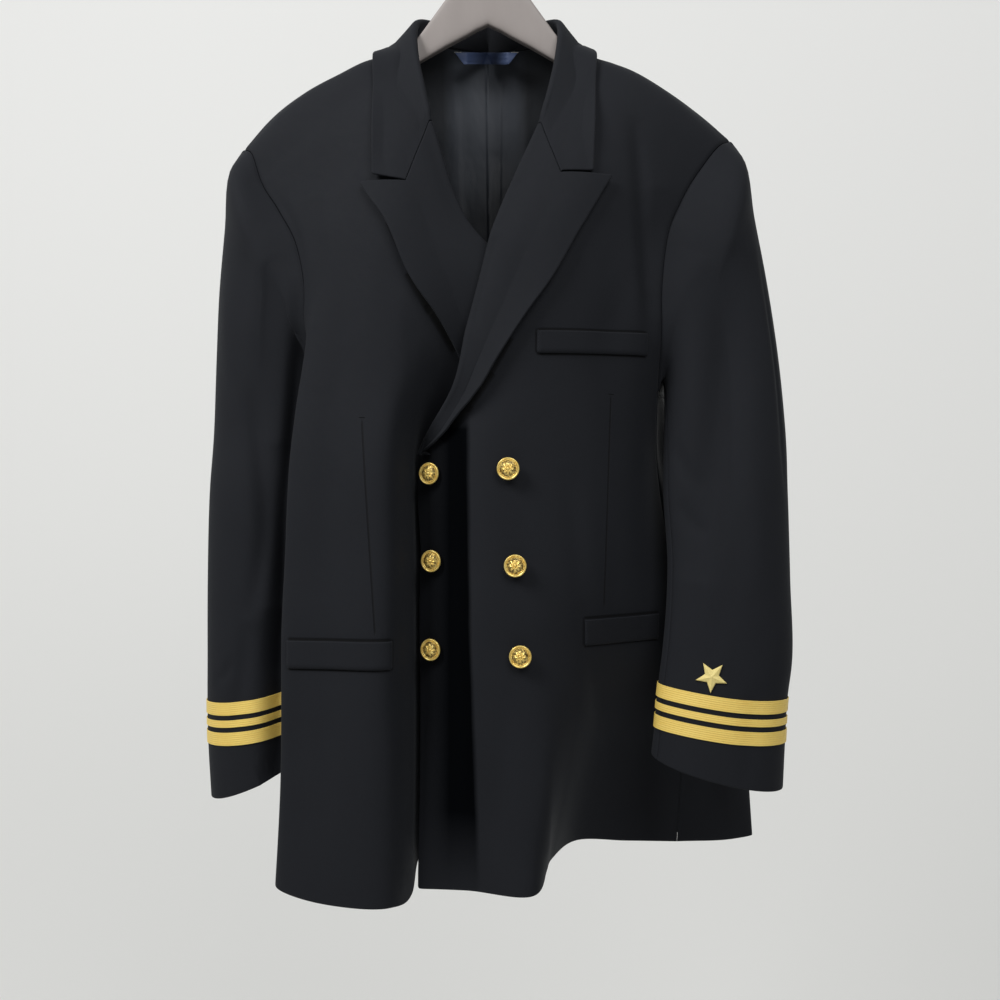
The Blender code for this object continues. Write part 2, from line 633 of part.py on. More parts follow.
def collar_half(half, rows):
    """Half the neck's seam, with the collar's lines beside it, from the gorge to the centre back."""
    first = SKIRT_ROWS + ARM_ROWS + CHEST_ROWS
    fore = half["front_grid"][first:, 0]
    away = edge_frame(half["front_grid"][first:], half["front_out"][first:])[0]
    rear = half["back_grid"][-1, :NECK_COLUMNS][::-1]
    table = np.array(rows, float)
    out = []
    fore, away = halfway(fore), halfway(away)
    rear = halfway(np.concatenate((fore[-1:], rear)))[1:]
    for point, off, place in zip(fore, away, length_shares(fore)):
        out.append((point, off if place == 0 else unit(off + np.array((0, 0, 2.0))), place))
    for k, point in enumerate(rear, 1):
        out.append((point, np.array((0, 0, 1.0)), 1 + k / len(rear)))
    return [(point, off, spline_weights(table[:, 0], [place])[0] @ table) for point, off, place in out]


def make_collar():
    """The collar: a stand rising from the neck's seam, a turn, and a fall over the outside."""
    right, left = collar_half(RIGHT, RIGHT_COLLAR), collar_half(LEFT, LEFT_COLLAR)
    rows = right + left[-2::-1]
    along = unit(np.gradient(np.array([row[2][1:4] for row in rows]), axis=0))
    cover = skin((RIGHT["front_grid"], -1), (RIGHT["back_grid"], 1), (LEFT["front_grid"], 1),
                 (LEFT["back_grid"], -1))
    joined = TURN_STEPS + 1 + GORGE_STEPS
    under = []
    for r, (base, off, numbers) in enumerate(rows):
        place, crest, middle, edge = numbers[0], numbers[1:4], numbers[4:7], numbers[7:10]
        start = base + off * SEAM
        up = crest - start
        up = unit(up - along[r] * up.dot(along[r]))
        outward = np.cross(along[r], up)
        if outward.dot(edge - crest) < 0:
            outward = -outward
        foot = crest - up * (ROLL + LAPEL) - outward * ROLL
        bend = np.array(turn(foot, up, outward, ROLL, TURN_STEPS))
        near = bend[-1] + (middle - bend[-1]) * np.linspace(0, 1, GORGE_STEPS + 1)[1:, None]
        far = middle + (edge - middle) * np.linspace(0, 1, REVERS_STEPS + 1)[1:, None]
        fall = kept_off(cover, np.concatenate((near, far)), 2.0 + 3.0 * math.exp(-((place - 1.1) / 0.25)**2))
        turned = np.concatenate((bend, fall))
        if r in (0, len(rows) - 1):
            half = RIGHT if r == 0 else LEFT
            lapel = half["lapel_under"]
            moved = lapel[-1] + SEAM * unit(lapel[-1] - lapel[-2])
            start = moved[0]
            turned[:joined] = moved[1:1 + joined]
        steps = np.arange(STAND_STEPS)[:, None] / STAND_STEPS
        under.append(np.concatenate((start + (turned[0] - start) * steps, turned)))
    under = np.array(under)
    out = facing(under, 1)
    if out[len(out) // 2, 0, 1] > 0:
        out = -out
    for row, half in ((0, RIGHT), (-1, LEFT)):
        out[row, STAND_STEPS:STAND_STEPS + joined] = half["lapel_out"][-1, 1:1 + joined]
        out[row, :STAND_STEPS] = half["lapel_out"][-1, 0]
    slab("collar", under + LAPEL * out, under, "navy_wool")


def halves(loop, half_way, shares):
    """A closed loop sampled at the given shares of each half's length."""
    rear, fore = loop[:half_way + 1], np.concatenate((loop[half_way:], loop[:1]))
    return np.concatenate((curve(rear, shares[0])[:-1], curve(fore, shares[1])[:-1]))


def ring(numbers, shares, flat):
    """A sleeve's section, from its outer point round by the back, flattened towards its inner side."""
    x_in, z_in, x_out, z_out, y, depth, fall = numbers
    angles = np.linspace(0, 2 * math.pi, 181)[:-1, None]
    swing = np.cos(angles)
    swing = np.where(swing < 0, -np.abs(swing)**flat, swing)
    middle = np.array(((x_in + x_out) / 2, y, (z_in + z_out) / 2))
    reach = np.array(((x_out - x_in) / 2, 0, (z_out - z_in) / 2))
    loop = middle + swing * reach + np.sin(angles) * np.array((0, depth, fall))
    return halves(loop, 90, shares)


def armhole(half, kind):
    """The armhole from the shoulder round by the back, down to the armpit and up the front."""
    back = half["back_" + kind][LOW_ROWS - 1:, -1][::-1]
    side = half["side_" + kind][-1][::-1]
    front = half["front_" + kind][LOW_ROWS - 1:, -1]
    return np.concatenate((back, side[1:-1], front[:-1]))


def sleeve_net(half, rows):
    """The sleeve's rings from the armhole to the cuff."""
    first = armhole(half, "grid")
    middle = RING_POINTS // 2
    even = np.linspace(0, 1, middle + 1)
    own = (length_shares(first[:middle + 1]), length_shares(np.concatenate((first[middle:], first[:1]))))
    lower = np.sqrt(np.maximum(0, -np.cos(2 * math.pi * np.arange(RING_POINTS) / RING_POINTS)))
    net = [first]
    for number, numbers in enumerate(rows, 1):
        part = min(1, number / HEAD_RINGS)
        shares = [own_share * (1 - part) + even * part for own_share in own]
        loop = ring(numbers, shares, FLATTENED + (1 - FLATTENED) * part)
        follow = (1 - part) * lower[:, None]
        net.append((first + loop[middle] - first[middle]) * follow + loop * (1 - follow))
    net[0] = first + ARMHOLE_GAP * armhole(half, "away")
    return np.array(net)


ARMHOLE_GAP = 0.7
HEAD_RINGS = 6
FLATTENED = 0.6
SLEEVE_HEAD_ROWS = 5
SLEEVE_ARM_ROWS = 9
HIND_SEAM = 4
FORE_SEAM = 14


def make_sleeve(half, rows, name):
    """The sleeve's two pieces, joined along the fore-arm and the hind-arm."""
    net = sleeve_net(half, rows)
    lengths = np.linalg.norm(np.diff(net, axis=0), axis=2).mean(axis=1)
    knots = np.concatenate(([0], np.cumsum(lengths))) / lengths.sum()
    arm = np.linspace(knots[SLEEVE_HEAD_ROWS], 1, SLEEVE_ARM_ROWS + 1)
    places = np.concatenate((knots[:SLEEVE_HEAD_ROWS], arm))
    grid = np.einsum("vr,rcx->vcx", spline_weights(knots, places), net)
    out = facing(grid, -half["sign"], wrap=True)
    out[0] = armhole(half, "out")
    half["sleeve_grid"] = grid
    top = [k % RING_POINTS for k in range(FORE_SEAM, RING_POINTS + HIND_SEAM + 1)]
    under = list(range(HIND_SEAM, FORE_SEAM + 1))
    for part, columns in (("top", top), ("under", under)):
        outer = draw_in(grid[:, columns])
        slab("sleeve_" + part + "_" + name, outer, outer - CLOTH * out[:, columns], "navy_wool")


def sleeve_place(half, column, z):
    """The point of a sleeve's column at a height, on the sleeve's own facets."""
    line = half["sleeve_grid"][SLEEVE_HEAD_ROWS:, column]
    return np.array([np.interp(-z, -line[:, 2], line[:, k]) for k in range(3)])


def make_lace(half, name):
    """Bands of lace round the cuff, made from the sleeve's own points and moved out."""
    z_in, z_out, dip = LACE_TOP[name]
    for number, (below, width) in enumerate(LACE_BANDS, 1):
        edges = []
        for offset in (-width / 2, width / 2):
            line = []
            for k in range(RING_POINTS):
                angle = 2 * math.pi * k / RING_POINTS
                top = z_out + (z_in - z_out) * (0.5 - 0.5 * math.cos(angle)) + dip * math.sin(angle)
                line.append(sleeve_place(half, k, top - below - offset))
            edges.append(line)
        band = np.array(edges)
        out = facing(band, -half["sign"], wrap=True)
        outer = band + (LIFT + LACE) * out
        slab("lace_" + name + "_" + str(number), outer, band + LIFT * out, "gold_lace", wrap=True)


def make_welt(name, side, x0, z0, x1, z1, depth, lift):
    """A pocket welt lying on the front, made from the front's points and moved out."""
    half = LEFT if side == "left" else RIGHT
    rows = []
    for down in (depth, depth / 2, 0):
        line = []
        for s in np.linspace(0, 1, WELT_STEPS + 1):
            place, normal = seen_on(half["front_skin"], x0 + (x1 - x0) * s, z0 + (z1 - z0) * s - down)
            line.append(place + normal * lift)
        rows.append(line)
    under = np.array(rows)
    slab(name, under + WELT_WALL * facing(under, 1), under, "navy_wool")


def make_button(name, x, z, turned):
    """A domed button on its shank, facing out from the front."""
    place, normal = seen_on(LEFT["front_skin"], x, z)
    angle = math.radians(turned)
    axis = np.array((-math.sin(angle), -math.cos(angle), 0.0))
    leaning = math.sqrt(max(0, 1 - axis.dot(normal)**2))
    foot = place + axis * (LIFT + BUTTON_PROFILE[0][0] * leaning)
    side = np.array((math.cos(angle), -math.sin(angle), 0.0))
    top = np.array((0, 0, 1.0))
    around = BUTTON_SIDES
    points, faces = [], []
    for radius, height in BUTTON_PROFILE[:-1]:
        for k in range(around):
            a = 2 * math.pi * k / around
            points.append(foot + axis * height + radius * (side * math.cos(a) + top * math.sin(a)))
    points.append(foot + axis * BUTTON_PROFILE[-1][1])
    last = len(points) - 1
    for r in range(len(BUTTON_PROFILE) - 2):
        for k in range(around):
            a, b = r * around + k, r * around + (k + 1) % around
            faces.append((a, b, b + around, a + around))
    start = (len(BUTTON_PROFILE) - 2) * around
    for k in range(around):
        faces.append((start + k, start + (k + 1) % around, last))
    faces.append(tuple(reversed(range(around))))
    solid(name, points, faces, "gilt")


def make_star(half, name, x, y, z, facing_way, radius, lean, foot):
    """A five-pointed star with a raised facet along each point, sewn above the lace."""
    tube = half["sleeve_grid"][SLEEVE_HEAD_ROWS:]
    tube = np.concatenate((tube, tube[:, :1]), axis=1)
    cover = skin((tube, -half["sign"]))
    angle = math.radians(facing_way)
    outward = np.array((-math.sin(angle), -math.cos(angle), 0))
    side = np.array((math.cos(angle), -math.sin(angle), 0))
    centre = np.array((x, y, z)) + outward * STAR_REACH
    points = []
    for part in STAR_RINGS:
        for k in range(10):
            a = math.radians(lean - 90) + math.pi * k / 5
            r = part * (radius if k % 2 == 0 else radius * STAR_NOTCH)
            start = centre + side * r * math.cos(a) + np.array((0, 0, r * math.sin(a)))
            place, normal, _, _ = cover.ray_cast(Vector(start), Vector(-outward))
            points.append((place + normal * foot, place + normal * (foot + STAR_CREST - STAR_SLOPE * part)))
    count = 10 * len(STAR_RINGS)
    points = [pair[0] for pair in points] + [pair[1] for pair in points]
    middle, normal, _, _ = cover.ray_cast(Vector(centre), Vector(-outward))
    points += [middle + normal * foot, middle + normal * (foot + STAR_CREST)]
    faces = []
    for k in range(10):
        n = (k + 1) % 10
        faces.append((n, k, 2 * count))
        faces.append((count + k, count + n, 2 * count + 1))
        for low in range(0, count - 10, 10):
            faces += split([(low + k, low + n, low + 10 + n, low + 10 + k)])
            faces += split([(count + low + 10 + k, count + low + 10 + n, count + low + n, count + low + k)])
        faces += split([(count - 10 + k, count - 10 + n, 2 * count - 10 + n, 2 * count - 10 + k)])
    solid(name, points, faces, "gold_lace")


LINING_ROWS = 8
LINING = 1.0
LABEL_STEPS = 7
LABEL_WALL = 0.8
LABEL_LIFT = 0.9


def make_lining():
    """The back's lining, seen through the neck, and the bare label sewn on it."""
    rows = slice(LOW_ROWS + HIGH_ROWS - 1 - LINING_ROWS, LOW_ROWS + HIGH_ROWS)
    columns = slice(0, NECK_COLUMNS + 1)

    def inside(depth):
        right = (RIGHT["back_grid"] - depth * RIGHT["back_out"])[rows, columns][:, ::-1]
        left = (LEFT["back_grid"] - depth * LEFT["back_out"])[rows, columns]
        return draw_in(np.concatenate((right, left[:, 1:]), axis=1), left=False, right=False, high=True)

    behind = inside(CLOTH + LIFT)
    slab("back_lining", behind, inside(CLOTH + LIFT + LINING), "navy_satin", mirrored=NECK_COLUMNS)
    cover = skin((inside(CLOTH + LIFT + LINING + LABEL_LIFT), -1))
    under = []
    for z, x_from, x_to in LABEL:
        line = []
        for x in np.linspace(x_from, x_to, LABEL_STEPS):
            y = min(seen_on(cover, x, low)[0][1] for low, _, _ in LABEL)
            line.append((x, y, z))
        deepest = max(y for _, y, _ in line)
        under.append([(x, y, z - LABEL_FALL * (deepest - y)) for x, y, z in line])
    under = np.array(under)
    slab("neck_label", under - np.array((0, LABEL_WALL, 0)), under, "label_blue")


def make_hanger():
    """A plain shaped hanger, drawn as rings from end to end, that fits under the shoulders."""
    cover = skin((RIGHT["front_grid"], -1), (RIGHT["back_grid"], 1), (LEFT["front_grid"], 1),
                 (LEFT["back_grid"], -1))
    stations = [(-x, top, low, thick) for x, top, low, thick in HANGER[:0:-1]] + list(HANGER)
    around = HANGER_SIDES
    rings = []
    for x, top, low, thick in stations:
        loop = []
        for k in range(around):
            a = 2 * math.pi * k / around
            c, s = math.cos(a), math.sin(a)
            y = thick / 2 * math.copysign(abs(c)**0.6, c)
            z = (top + low) / 2 + (top - low) / 2 * math.copysign(abs(s)**0.8, s)
            roof, normal, _, _ = cover.ray_cast(Vector((x, y, 0)), Vector((0, 0, -1)))
            if roof is not None and roof.z > top - HANGER_REACH and abs(x) > HANGER_BEARING:
                z = min(z, roof.z - (CLOTH + HANGER_GAP) / normal.z)
            loop.append((x, y, z))
        rings.append(loop)
    points = [p for loop in rings for p in loop]
    faces = []
    for r in range(len(rings) - 1):
        for k in range(around):
            a, b = r * around + k, r * around + (k + 1) % around
            faces.append((a, b, b + around, a + around))
    faces.append(tuple(reversed(range(around))))
    faces.append(tuple(range((len(rings) - 1) * around, len(rings) * around)))
    solid("hanger_body", points, faces, "hanger_grey")


def make_hook():
    """The wire hook, standing on the hanger's neck."""
    wire = HOOK_WIRE
    foot = HANGER[0][1] + SEAM
    path = curve([(x, z) for x, z in HOOK], np.linspace(0, 1, HOOK_STEPS + 1))
    path[:, 1] = np.maximum(path[:, 1], foot)
    path = path[path[:, 1] > foot + 0.01]
    path = np.concatenate(([(0, foot)], path))
    along = unit(np.gradient(path, axis=0))
    along[0] = (0, 1)
    around = HOOK_SIDES
    points, faces = [], []
    for (x, z), (tx, tz) in zip(path, along):
        for k in range(around):
            a = 2 * math.pi * k / around
            side = wire * math.cos(a)
            points.append((x - tz * side, wire * math.sin(a), z + tx * side))
    for r in range(len(path) - 1):
        for k in range(around):
            a, b = r * around + k, r * around + (k + 1) % around
            faces.append((a, b, b + around, a + around))
    faces.append(tuple(reversed(range(around))))
    faces.append(tuple(range((len(path) - 1) * around, len(path) * around)))
    solid("hanger_hook", points, faces, "steel")


for old in list(bpy.data.objects):
    bpy.data.objects.remove(old, do_unlink=True)

body_side(LEFT, LEFT_SIDE)
body_side(RIGHT, RIGHT_SIDE)
share(LEFT["back_out"][:, 0], RIGHT["back_out"][:, 0])
make_body(LEFT, "left")
make_body(RIGHT, "right")
make_lapel(LEFT, LEFT_LAPEL, "left")
make_lapel(RIGHT, RIGHT_LAPEL, "right")
make_collar()
make_sleeve(LEFT, LEFT_SLEEVE, "left")
make_sleeve(RIGHT, RIGHT_SLEEVE, "right")
make_lace(LEFT, "left")
make_lace(RIGHT, "right")
make_star(LEFT, "star_left", *STARS["star_left"])
make_star(RIGHT, "star_right", *STARS["star_right"])
for welt, numbers in WELTS.items():
    make_welt(welt, *numbers)
for button, numbers in BUTTONS.items():
    make_button(button, *numbers)
make_lining()
make_hanger()
make_hook()
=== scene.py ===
"""Double-breasted blazer on a hanger, dressed for the photograph: fine cloth on the form of its cut pieces,
with its creases, seams, stitches, gilt buttons and gold lace. Tables are in millimetres, in the frame of the
CAD part: X to the viewer's right, Y away from the viewer and Z up, from the inside of the hook's crown."""

import math

import bmesh
import bpy
import numpy as np
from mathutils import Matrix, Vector
from mathutils.bvhtree import BVHTree


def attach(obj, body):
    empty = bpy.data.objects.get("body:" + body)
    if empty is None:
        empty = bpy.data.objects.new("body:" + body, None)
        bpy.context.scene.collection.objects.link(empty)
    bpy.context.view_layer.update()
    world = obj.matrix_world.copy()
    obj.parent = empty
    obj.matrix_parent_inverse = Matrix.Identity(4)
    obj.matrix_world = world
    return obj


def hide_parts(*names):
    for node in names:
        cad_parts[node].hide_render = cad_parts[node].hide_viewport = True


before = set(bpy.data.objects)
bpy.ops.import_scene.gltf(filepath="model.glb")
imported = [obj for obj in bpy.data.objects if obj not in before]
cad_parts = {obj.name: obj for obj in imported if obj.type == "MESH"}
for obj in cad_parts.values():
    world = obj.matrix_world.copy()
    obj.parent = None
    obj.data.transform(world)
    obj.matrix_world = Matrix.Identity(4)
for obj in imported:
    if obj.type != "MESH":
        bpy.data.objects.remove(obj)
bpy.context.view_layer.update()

MM = 0.001
# The walls of the cloth, of a folded lapel and of the lace, then the gap between two pieces at a seam and the
# gap under a piece that is sewn on.
CLOTH = 1.8
LAPEL = 2.6
LACE = 0.8
SEAM = 0.3
LIFT = 0.4

# The fronts, one row for each level from the hem to the shoulder seam. A station is a place on the cloth
# from the free edge round to the seam under the arm (edge, fold, crest, flank, rear, back, seam), given as
# x and y seen from above. Above the armpit the last station is the armhole, and above the lapel's break the
# first is the roll line and then the neck.
FRONT_LEVELS = ("hem", "skirt", "welt_low", "welt_top", "waist", "break", "armpit", "notch", "chest", "bust",
                "gorge", "yoke", "crown", "shoulder")
# Columns: z at the edge, the flank and the seam, then x and y of each station.
LEFT_FRONT = (
    (-1009, -993, -990, -70, -75, -20, -82, 46, -103, 66, -28, 96, 30, 150, 36, 205, 33),
    (-890, -886, -880, -70, -62, -21, -91, 50, -102, 84, -62, 114, -8, 158, 10, 208, 10),
    (-765, -763, -762, -70, -52, -21, -98, 42, -100, 97, -80, 128, -58, 164, -36, 203, -15),
    (-740, -738, -737, -70, -51, -21, -99, 42, -101, 97, -83, 128, -64, 164, -42, 202, -14),
    (-680, -680, -680, -69, -52, -20, -99, 40, -101, 97, -88, 130, -70, 160, -48, 193, -8),
    (-573, -571, -569, -66, -56, -20, -99, 38, -101, 96, -88, 127, -73, 154, -53, 177, -18),
    (-506, -507, -507, -28, -93, -3, -100, 40, -101, 92, -90, 122, -77, 152, -60, 177, -30),
    (-446, -446, -446, -14, -97, 10, -102, 48, -102, 90, -92, 118, -80, 150, -68, 178, -53),
    (-407, -407, -407, -4, -97, 20, -101, 56, -101, 92, -91, 120, -80, 150, -70, 178, -56),
    (-350, -355, -358, 11, -92, 34, -97, 66, -97, 98, -88, 127, -77, 156, -65, 183, -50),
    (-241, -279, -316, 56.5, -63, 76, -71, 102, -75, 128, -72, 152, -64, 176, -53, 197, -41),
    (-180, -210, -276, 84, -30, 100, -38, 120, -44, 145, -45, 169, -41, 194, -34, 220, -25),
    (-147, -173, -243, 91, -10, 108, -14, 130, -17, 158, -18, 189, -17, 219, -14, 246, -9),
    (-139, -169, -236, 93, 6, 116, 6, 140, 6, 168, 6, 199, 5, 231, 5, 258, 4),
)
RIGHT_FRONT = (
    (-1000, -1017, -1003, 35, -52, -69, -46, -76, -72, -95, -109, -165, -104, -210, -84, -214, -62),
    (-900, -903, -898, 35, -60, -68, -32, -76, -66, -94, -108, -160, -101, -206, -83, -204, -64),
    (-784, -785, -784, 35, -66, -70, -34, -76, -61, -95, -108, -160, -99, -205, -84, -203, -66),
    (-757, -758, -757, 35, -68, -70, -34, -76, -61, -95, -108, -160, -99, -205, -84, -202, -66),
    (-680, -680, -680, 35, -72, -70, -35, -76, -61, -95, -108, -157, -98, -202, -83, -196, -64),
    (-573, -572, -570, 36, -76, -69, -38, -76, -63, -95, -106, -152, -97, -197, -80, -186, -58),
    (-506, -507, -507, 36, -76, -50, -66, -72, -90, -93, -102, -146, -92, -190, -70, -170, -38),
    (-446, -443, -440, 34, -77, -36, -82, -70, -93, -92, -98, -138, -90, -178, -73, -187, -58),
    (-400, -405, -408, 26, -78, -32, -86, -67, -93, -92, -95, -133, -89, -168, -75, -187, -60),
    (-340, -350, -360, -25, -76, -54, -84, -78, -89, -101, -90, -136, -83, -168, -70, -196, -51),
    (-238, -278, -318, -61.5, -62, -81, -70, -99, -74, -118, -73, -148, -65, -182, -52, -217, -36),
    (-180, -211, -286, -84, -30, -100, -38, -118, -43, -137, -45, -172, -41, -207, -32, -237, -22),
    (-147, -171, -251, -91, -10, -108, -14, -128, -17, -152, -18, -192, -17, -226, -14, -251, -9),
    (-139, -167, -245, -93, 6, -114, 6, -135, 6, -160, 6, -202, 5, -236, 5, -260, 4),
)
# Z of each station along the two front hems, whose corners hang differently.
LEFT_HEM = (-1009, -1009, -1008, -993, -988, -990, -990)
RIGHT_HEM = (-1001, -984, -1016, -1018, -1015, -1006, -1002)

# The backs, from the hem to the neck and shoulder. Columns: z at the centre, the neck line, the blade and
# the seam, then y at the centre, and x and y of the neck line, the blade and the seam, which is the armhole
# above the armpit.
BACK_LEVELS = ("hem", "skirt", "waist", "flank", "armpit", "blade", "upper", "yoke", "crown", "shoulder")
LEFT_BACK = (
    (-990, -989, -988, -986, 64, 92, 69, 170, 62, 242, 64),
    (-890, -889, -888, -886, 61, 92, 68, 170, 61, 243, 62),
    (-700, -700, -700, -700, 57, 90, 66, 164, 60, 232, 58),
    (-571, -571, -571, -571, 55, 86, 66, 152, 60, 210, 46),
    (-508, -508, -508, -508, 55, 84, 66, 142, 60, 193, 40),
    (-430, -432, -434, -436, 55, 88, 66, 147, 62, 192, 50),
    (-330, -336, -342, -350, 55, 92, 62, 160, 57, 216, 42),
    (-215, -228, -244, -285, 53, 95, 50, 175, 42, 243, 24),
    (-150, -153, -186, -248, 51, 94, 26, 178, 22, 254, 14),
    (-128, -139, -172, -237, 49, 93, 6, 175, 6, 258, 4),
)
RIGHT_BACK = (
    (-990, -989, -992, -996, 64, -82, 69, -140, 62, -190, 58),
    (-890, -889, -892, -896, 61, -82, 68, -136, 61, -176, 54),
    (-700, -700, -700, -700, 57, -82, 66, -130, 60, -168, 50),
    (-571, -571, -571, -571, 55, -82, 66, -130, 60, -168, 46),
    (-508, -508, -508, -508, 55, -82, 66, -132, 60, -168, 38),
    (-430, -432, -434, -436, 55, -86, 66, -143, 62, -191, 50),
    (-330, -336, -342, -350, 55, -92, 62, -160, 57, -220, 42),
    (-215, -228, -246, -290, 53, -95, 50, -175, 42, -246, 24),
    (-150, -153, -188, -258, 51, -94, 26, -178, 22, -256, 14),
    (-128, -139, -174, -247, 49, -93, 6, -175, 6, -260, 4),
)

# The panels under the arms, from the hem to the armhole. Columns: the level's name in the fronts' tables,
# the same in the backs', then x and y of two stations between the seams, the side and the hollow.
LEFT_SIDE = (
    ("hem", "hem", 266, 38, 290, 50),
    ("skirt", "skirt", 258, 20, 282, 42),
    ("welt_top", "waist", 242, 4, 262, 34),
    ("break", "flank", 183, 5, 202, 27),
    ("armpit", "armpit", 180, -8, 187, 16),
)
RIGHT_SIDE = (
    ("hem", "hem", -220, -22, -210, 26),
    ("skirt", "skirt", -158, -46, -148, 6),
    ("welt_top", "waist", -156, -48, -145, 2),
    ("break", "flank", -156, -40, -145, 4),
    ("armpit", "armpit", -159, -10, -160, 16),
)

# The sleeves, as rings from just past the armhole to the cuff (head, cap, upper, biceps, above the elbow,
# elbow, forearm, wrist, lace top, lace foot, cuff). Columns: x and z of the ring's inner point and of its
# outer point, then y of its centre, half its depth, and how far its front hangs below its middle.
LEFT_SLEEVE = (
    (184, -499, 272, -261, 1, 58, 0),
    (185, -495, 281, -318, -1, 57, 0),
    (185, -496, 293, -385, -5, 55, 0),
    (185, -505, 303, -460, -13, 51, 0),
    (184, -532, 309, -540, -24, 47, 0),
    (181, -605, 309, -610, -38, 43, 0),
    (184, -690, 309, -700, -50, 40, 0),
    (178, -770, 309, -784, -58, 38, 0),
    (173, -808, 304, -820, -60, 37, 1),
    (169, -850, 301, -866, -62, 36, 4),
    (166, -876, 299, -908, -62, 36, 8),
)
RIGHT_SLEEVE = (
    (-173, -499, -273, -270, 1, 57, 0),
    (-174, -497, -279, -330, 4, 56, 0),
    (-174, -498, -285, -395, 5, 53, 0),
    (-174, -505, -288, -465, 4, 49, 0),
    (-170, -530, -290, -540, 1, 46, 0),
    (-158, -600, -293, -610, -8, 44, 0),
    (-158, -690, -295, -700, -9, 43, 0),
    (-159, -770, -295, -790, -10, 42, 0),
    (-160, -812, -295, -829, -10, 42, 1),
    (-161, -837, -294, -875, -10, 41, 5),
    (-161, -864, -291, -927, -10, 40, 12),
)

# The lapels, from the break up to the gorge. Columns: x and z of the roll line, of the line through the
# notch, and of the free edge, then how far the free edge stands off the front.
LEFT_LAPEL = (
    (-69, -571, -67, -572, -64.5, -573, 4),
    (-56, -556, -51, -558, -46, -559, 5),
    (-42, -528, -28, -527, -15, -524, 9),
    (-31, -490, -10, -486, 11, -480, 10),
    (-21, -446, 8, -444, 36, -440, 9),
    (-8, -396, 26, -402, 61, -403, 7),
    (8, -343, 48, -352, 88, -355, 5),
    (26, -300, 64, -318, 108, -321, 4),
    (51, -242, 73, -293.5, 124, -294.5, 4),
)
RIGHT_LAPEL = (
    (33, -566, 30, -568, 27, -571, 3),
    (22, -530, 14, -534, 6, -538, 4),
    (10, -480, -6, -486, -24, -484, 6),
    (2, -440, -22, -448, -48, -443, 8),
    (-14, -370, -44, -392, -78, -398, 8),
    (-32, -306, -64, -338, -102, -341, 7),
    (-48, -262, -74, -308, -119, -315, 5),
    (-55, -239, -82, -301, -126.5, -301.5, 4),
)

# The collar, from the gorge round to the back of the neck. Columns: how far along the neck (0 the gorge, 1
# the shoulder, 2 the centre back), then x, y and z of the fold's crest, of a line down the fall, and of its
# free edge.
LEFT_COLLAR = (
    (0.00, 51, -69, -239, 73, -84, -292, 106, -84, -290.5),
    (0.35, 63, -50, -193, 84, -62, -236, 109, -72, -240),
    (0.70, 71, -26, -150, 92, -38, -188, 111, -46, -196),
    (1.00, 74, 2, -111, 95, -2, -138, 113, -10, -151),
    (1.40, 58, 32, -99, 78, 40, -127, 92, 46, -156),
    (2.00, 0, 46, -93, 0, 58, -120, 0, 60, -148),
)
RIGHT_COLLAR = (
    (0.00, -55, -68, -236, -82, -84, -300, -115.5, -84, -294),
    (0.35, -65, -50, -193, -90, -62, -236, -117, -72, -246),
    (0.70, -73, -26, -151, -97, -38, -188, -118, -46, -198),
    (1.00, -75, 2, -111, -98, -2, -138, -119, -10, -153),
    (1.40, -58, 32, -99, -80, 40, -127, -96, 46, -158),
    (2.00, 0, 46, -93, 0, 58, -120, 0, 60, -148),
)

# The lace round each cuff. Columns: how far the band's middle lies below the lace's top edge, and its
# width.
LACE_BANDS = ((6.65, 13.3), (22.1, 7.5), (37.65, 13.5))
# Z of that top edge at the sleeve's inner side and at its outer side, and how far it dips across the front.
LACE_TOP = {"left": (-803.5, -817.5, 4), "right": (-804, -827, 5)}

# The buttons. Columns: x and z of the middle, then how many degrees the face turns to the wearer's right.
BUTTONS = {
    "button_left_1": (21, -588, 4), "button_left_2": (28, -683, 4), "button_left_3": (33, -772, 4),
    "button_right_1": (-55.5, -592, 26), "button_right_2": (-53.5, -680, 26),
    "button_right_3": (-54, -769, 26),
}

# The stars, which stand on one point. Columns: x, y and z of the middle, how many degrees it faces round
# from the front towards -X, the radius at the points, the lean of the lowest point to the wearer's left in
# degrees, and how far the star stands off the sleeve.
STARS = {"star_left": (222, -98, -793.5, 0, 16, -5, 0.7), "star_right": (-279, 16, -811, 142, 16, 5, 1.4)}
# A star is laid on the sleeve from this far in front of it. Its notches lie at a share of its radius. It is
# as high as its crest in the middle and lower by the slope at its edge, and it is rounded off from a share of
# the way out.
STAR_REACH = 60
STAR_NOTCH = 0.44
STAR_CREST = 2.9
STAR_SLOPE = 2.0
STAR_ROUNDED = 0.88

# The bare label on the lining. Columns: z at its middle, and x of its two ends.
LABEL = ((-143, -26, 22), (-137, -31, 27), (-131, -36, 32))
# The label's ends hang lower, by this share of how far they stand forward of its middle.
LABEL_FALL = 0.34

WELT_WALL = 1.8
# The welts. Columns: the front it is on, x and z of the top line's two ends, the welt's depth, and how far it
# stands off.
WELTS = {
    "breast_welt": ("left", 49, -452, 161, -450, 21.5, 1.6),
    "welt_left": ("left", 97, -738, 176, -736, 26, 1.0),
    "welt_right": ("right", -198, -758, -94, -757, 27, 1.6),
}

# The hanger. Columns: x, z of the top and of the underside, and how thick it is from front to back.
HANGER = (
    (0, -57, -115.5, 14), (13, -59, -121.5, 14), (26, -68, -129, 14), (45, -89, -139, 14),
    (70.5, -124, -153.7, 11.5), (91, -150, -167, 15), (111, -151, -176, 18), (157, -168, -200, 26),
    (194, -186, -220, 28), (206, -197, -226, 22), (211, -207, -223, 12),
)
# The hanger bears on the shoulders beyond this x, with this gap to the cloth over it, and the shoulders lie
# no more than the reach below its own line.
HANGER_BEARING = 85
HANGER_GAP = 0.7
HANGER_REACH = 25

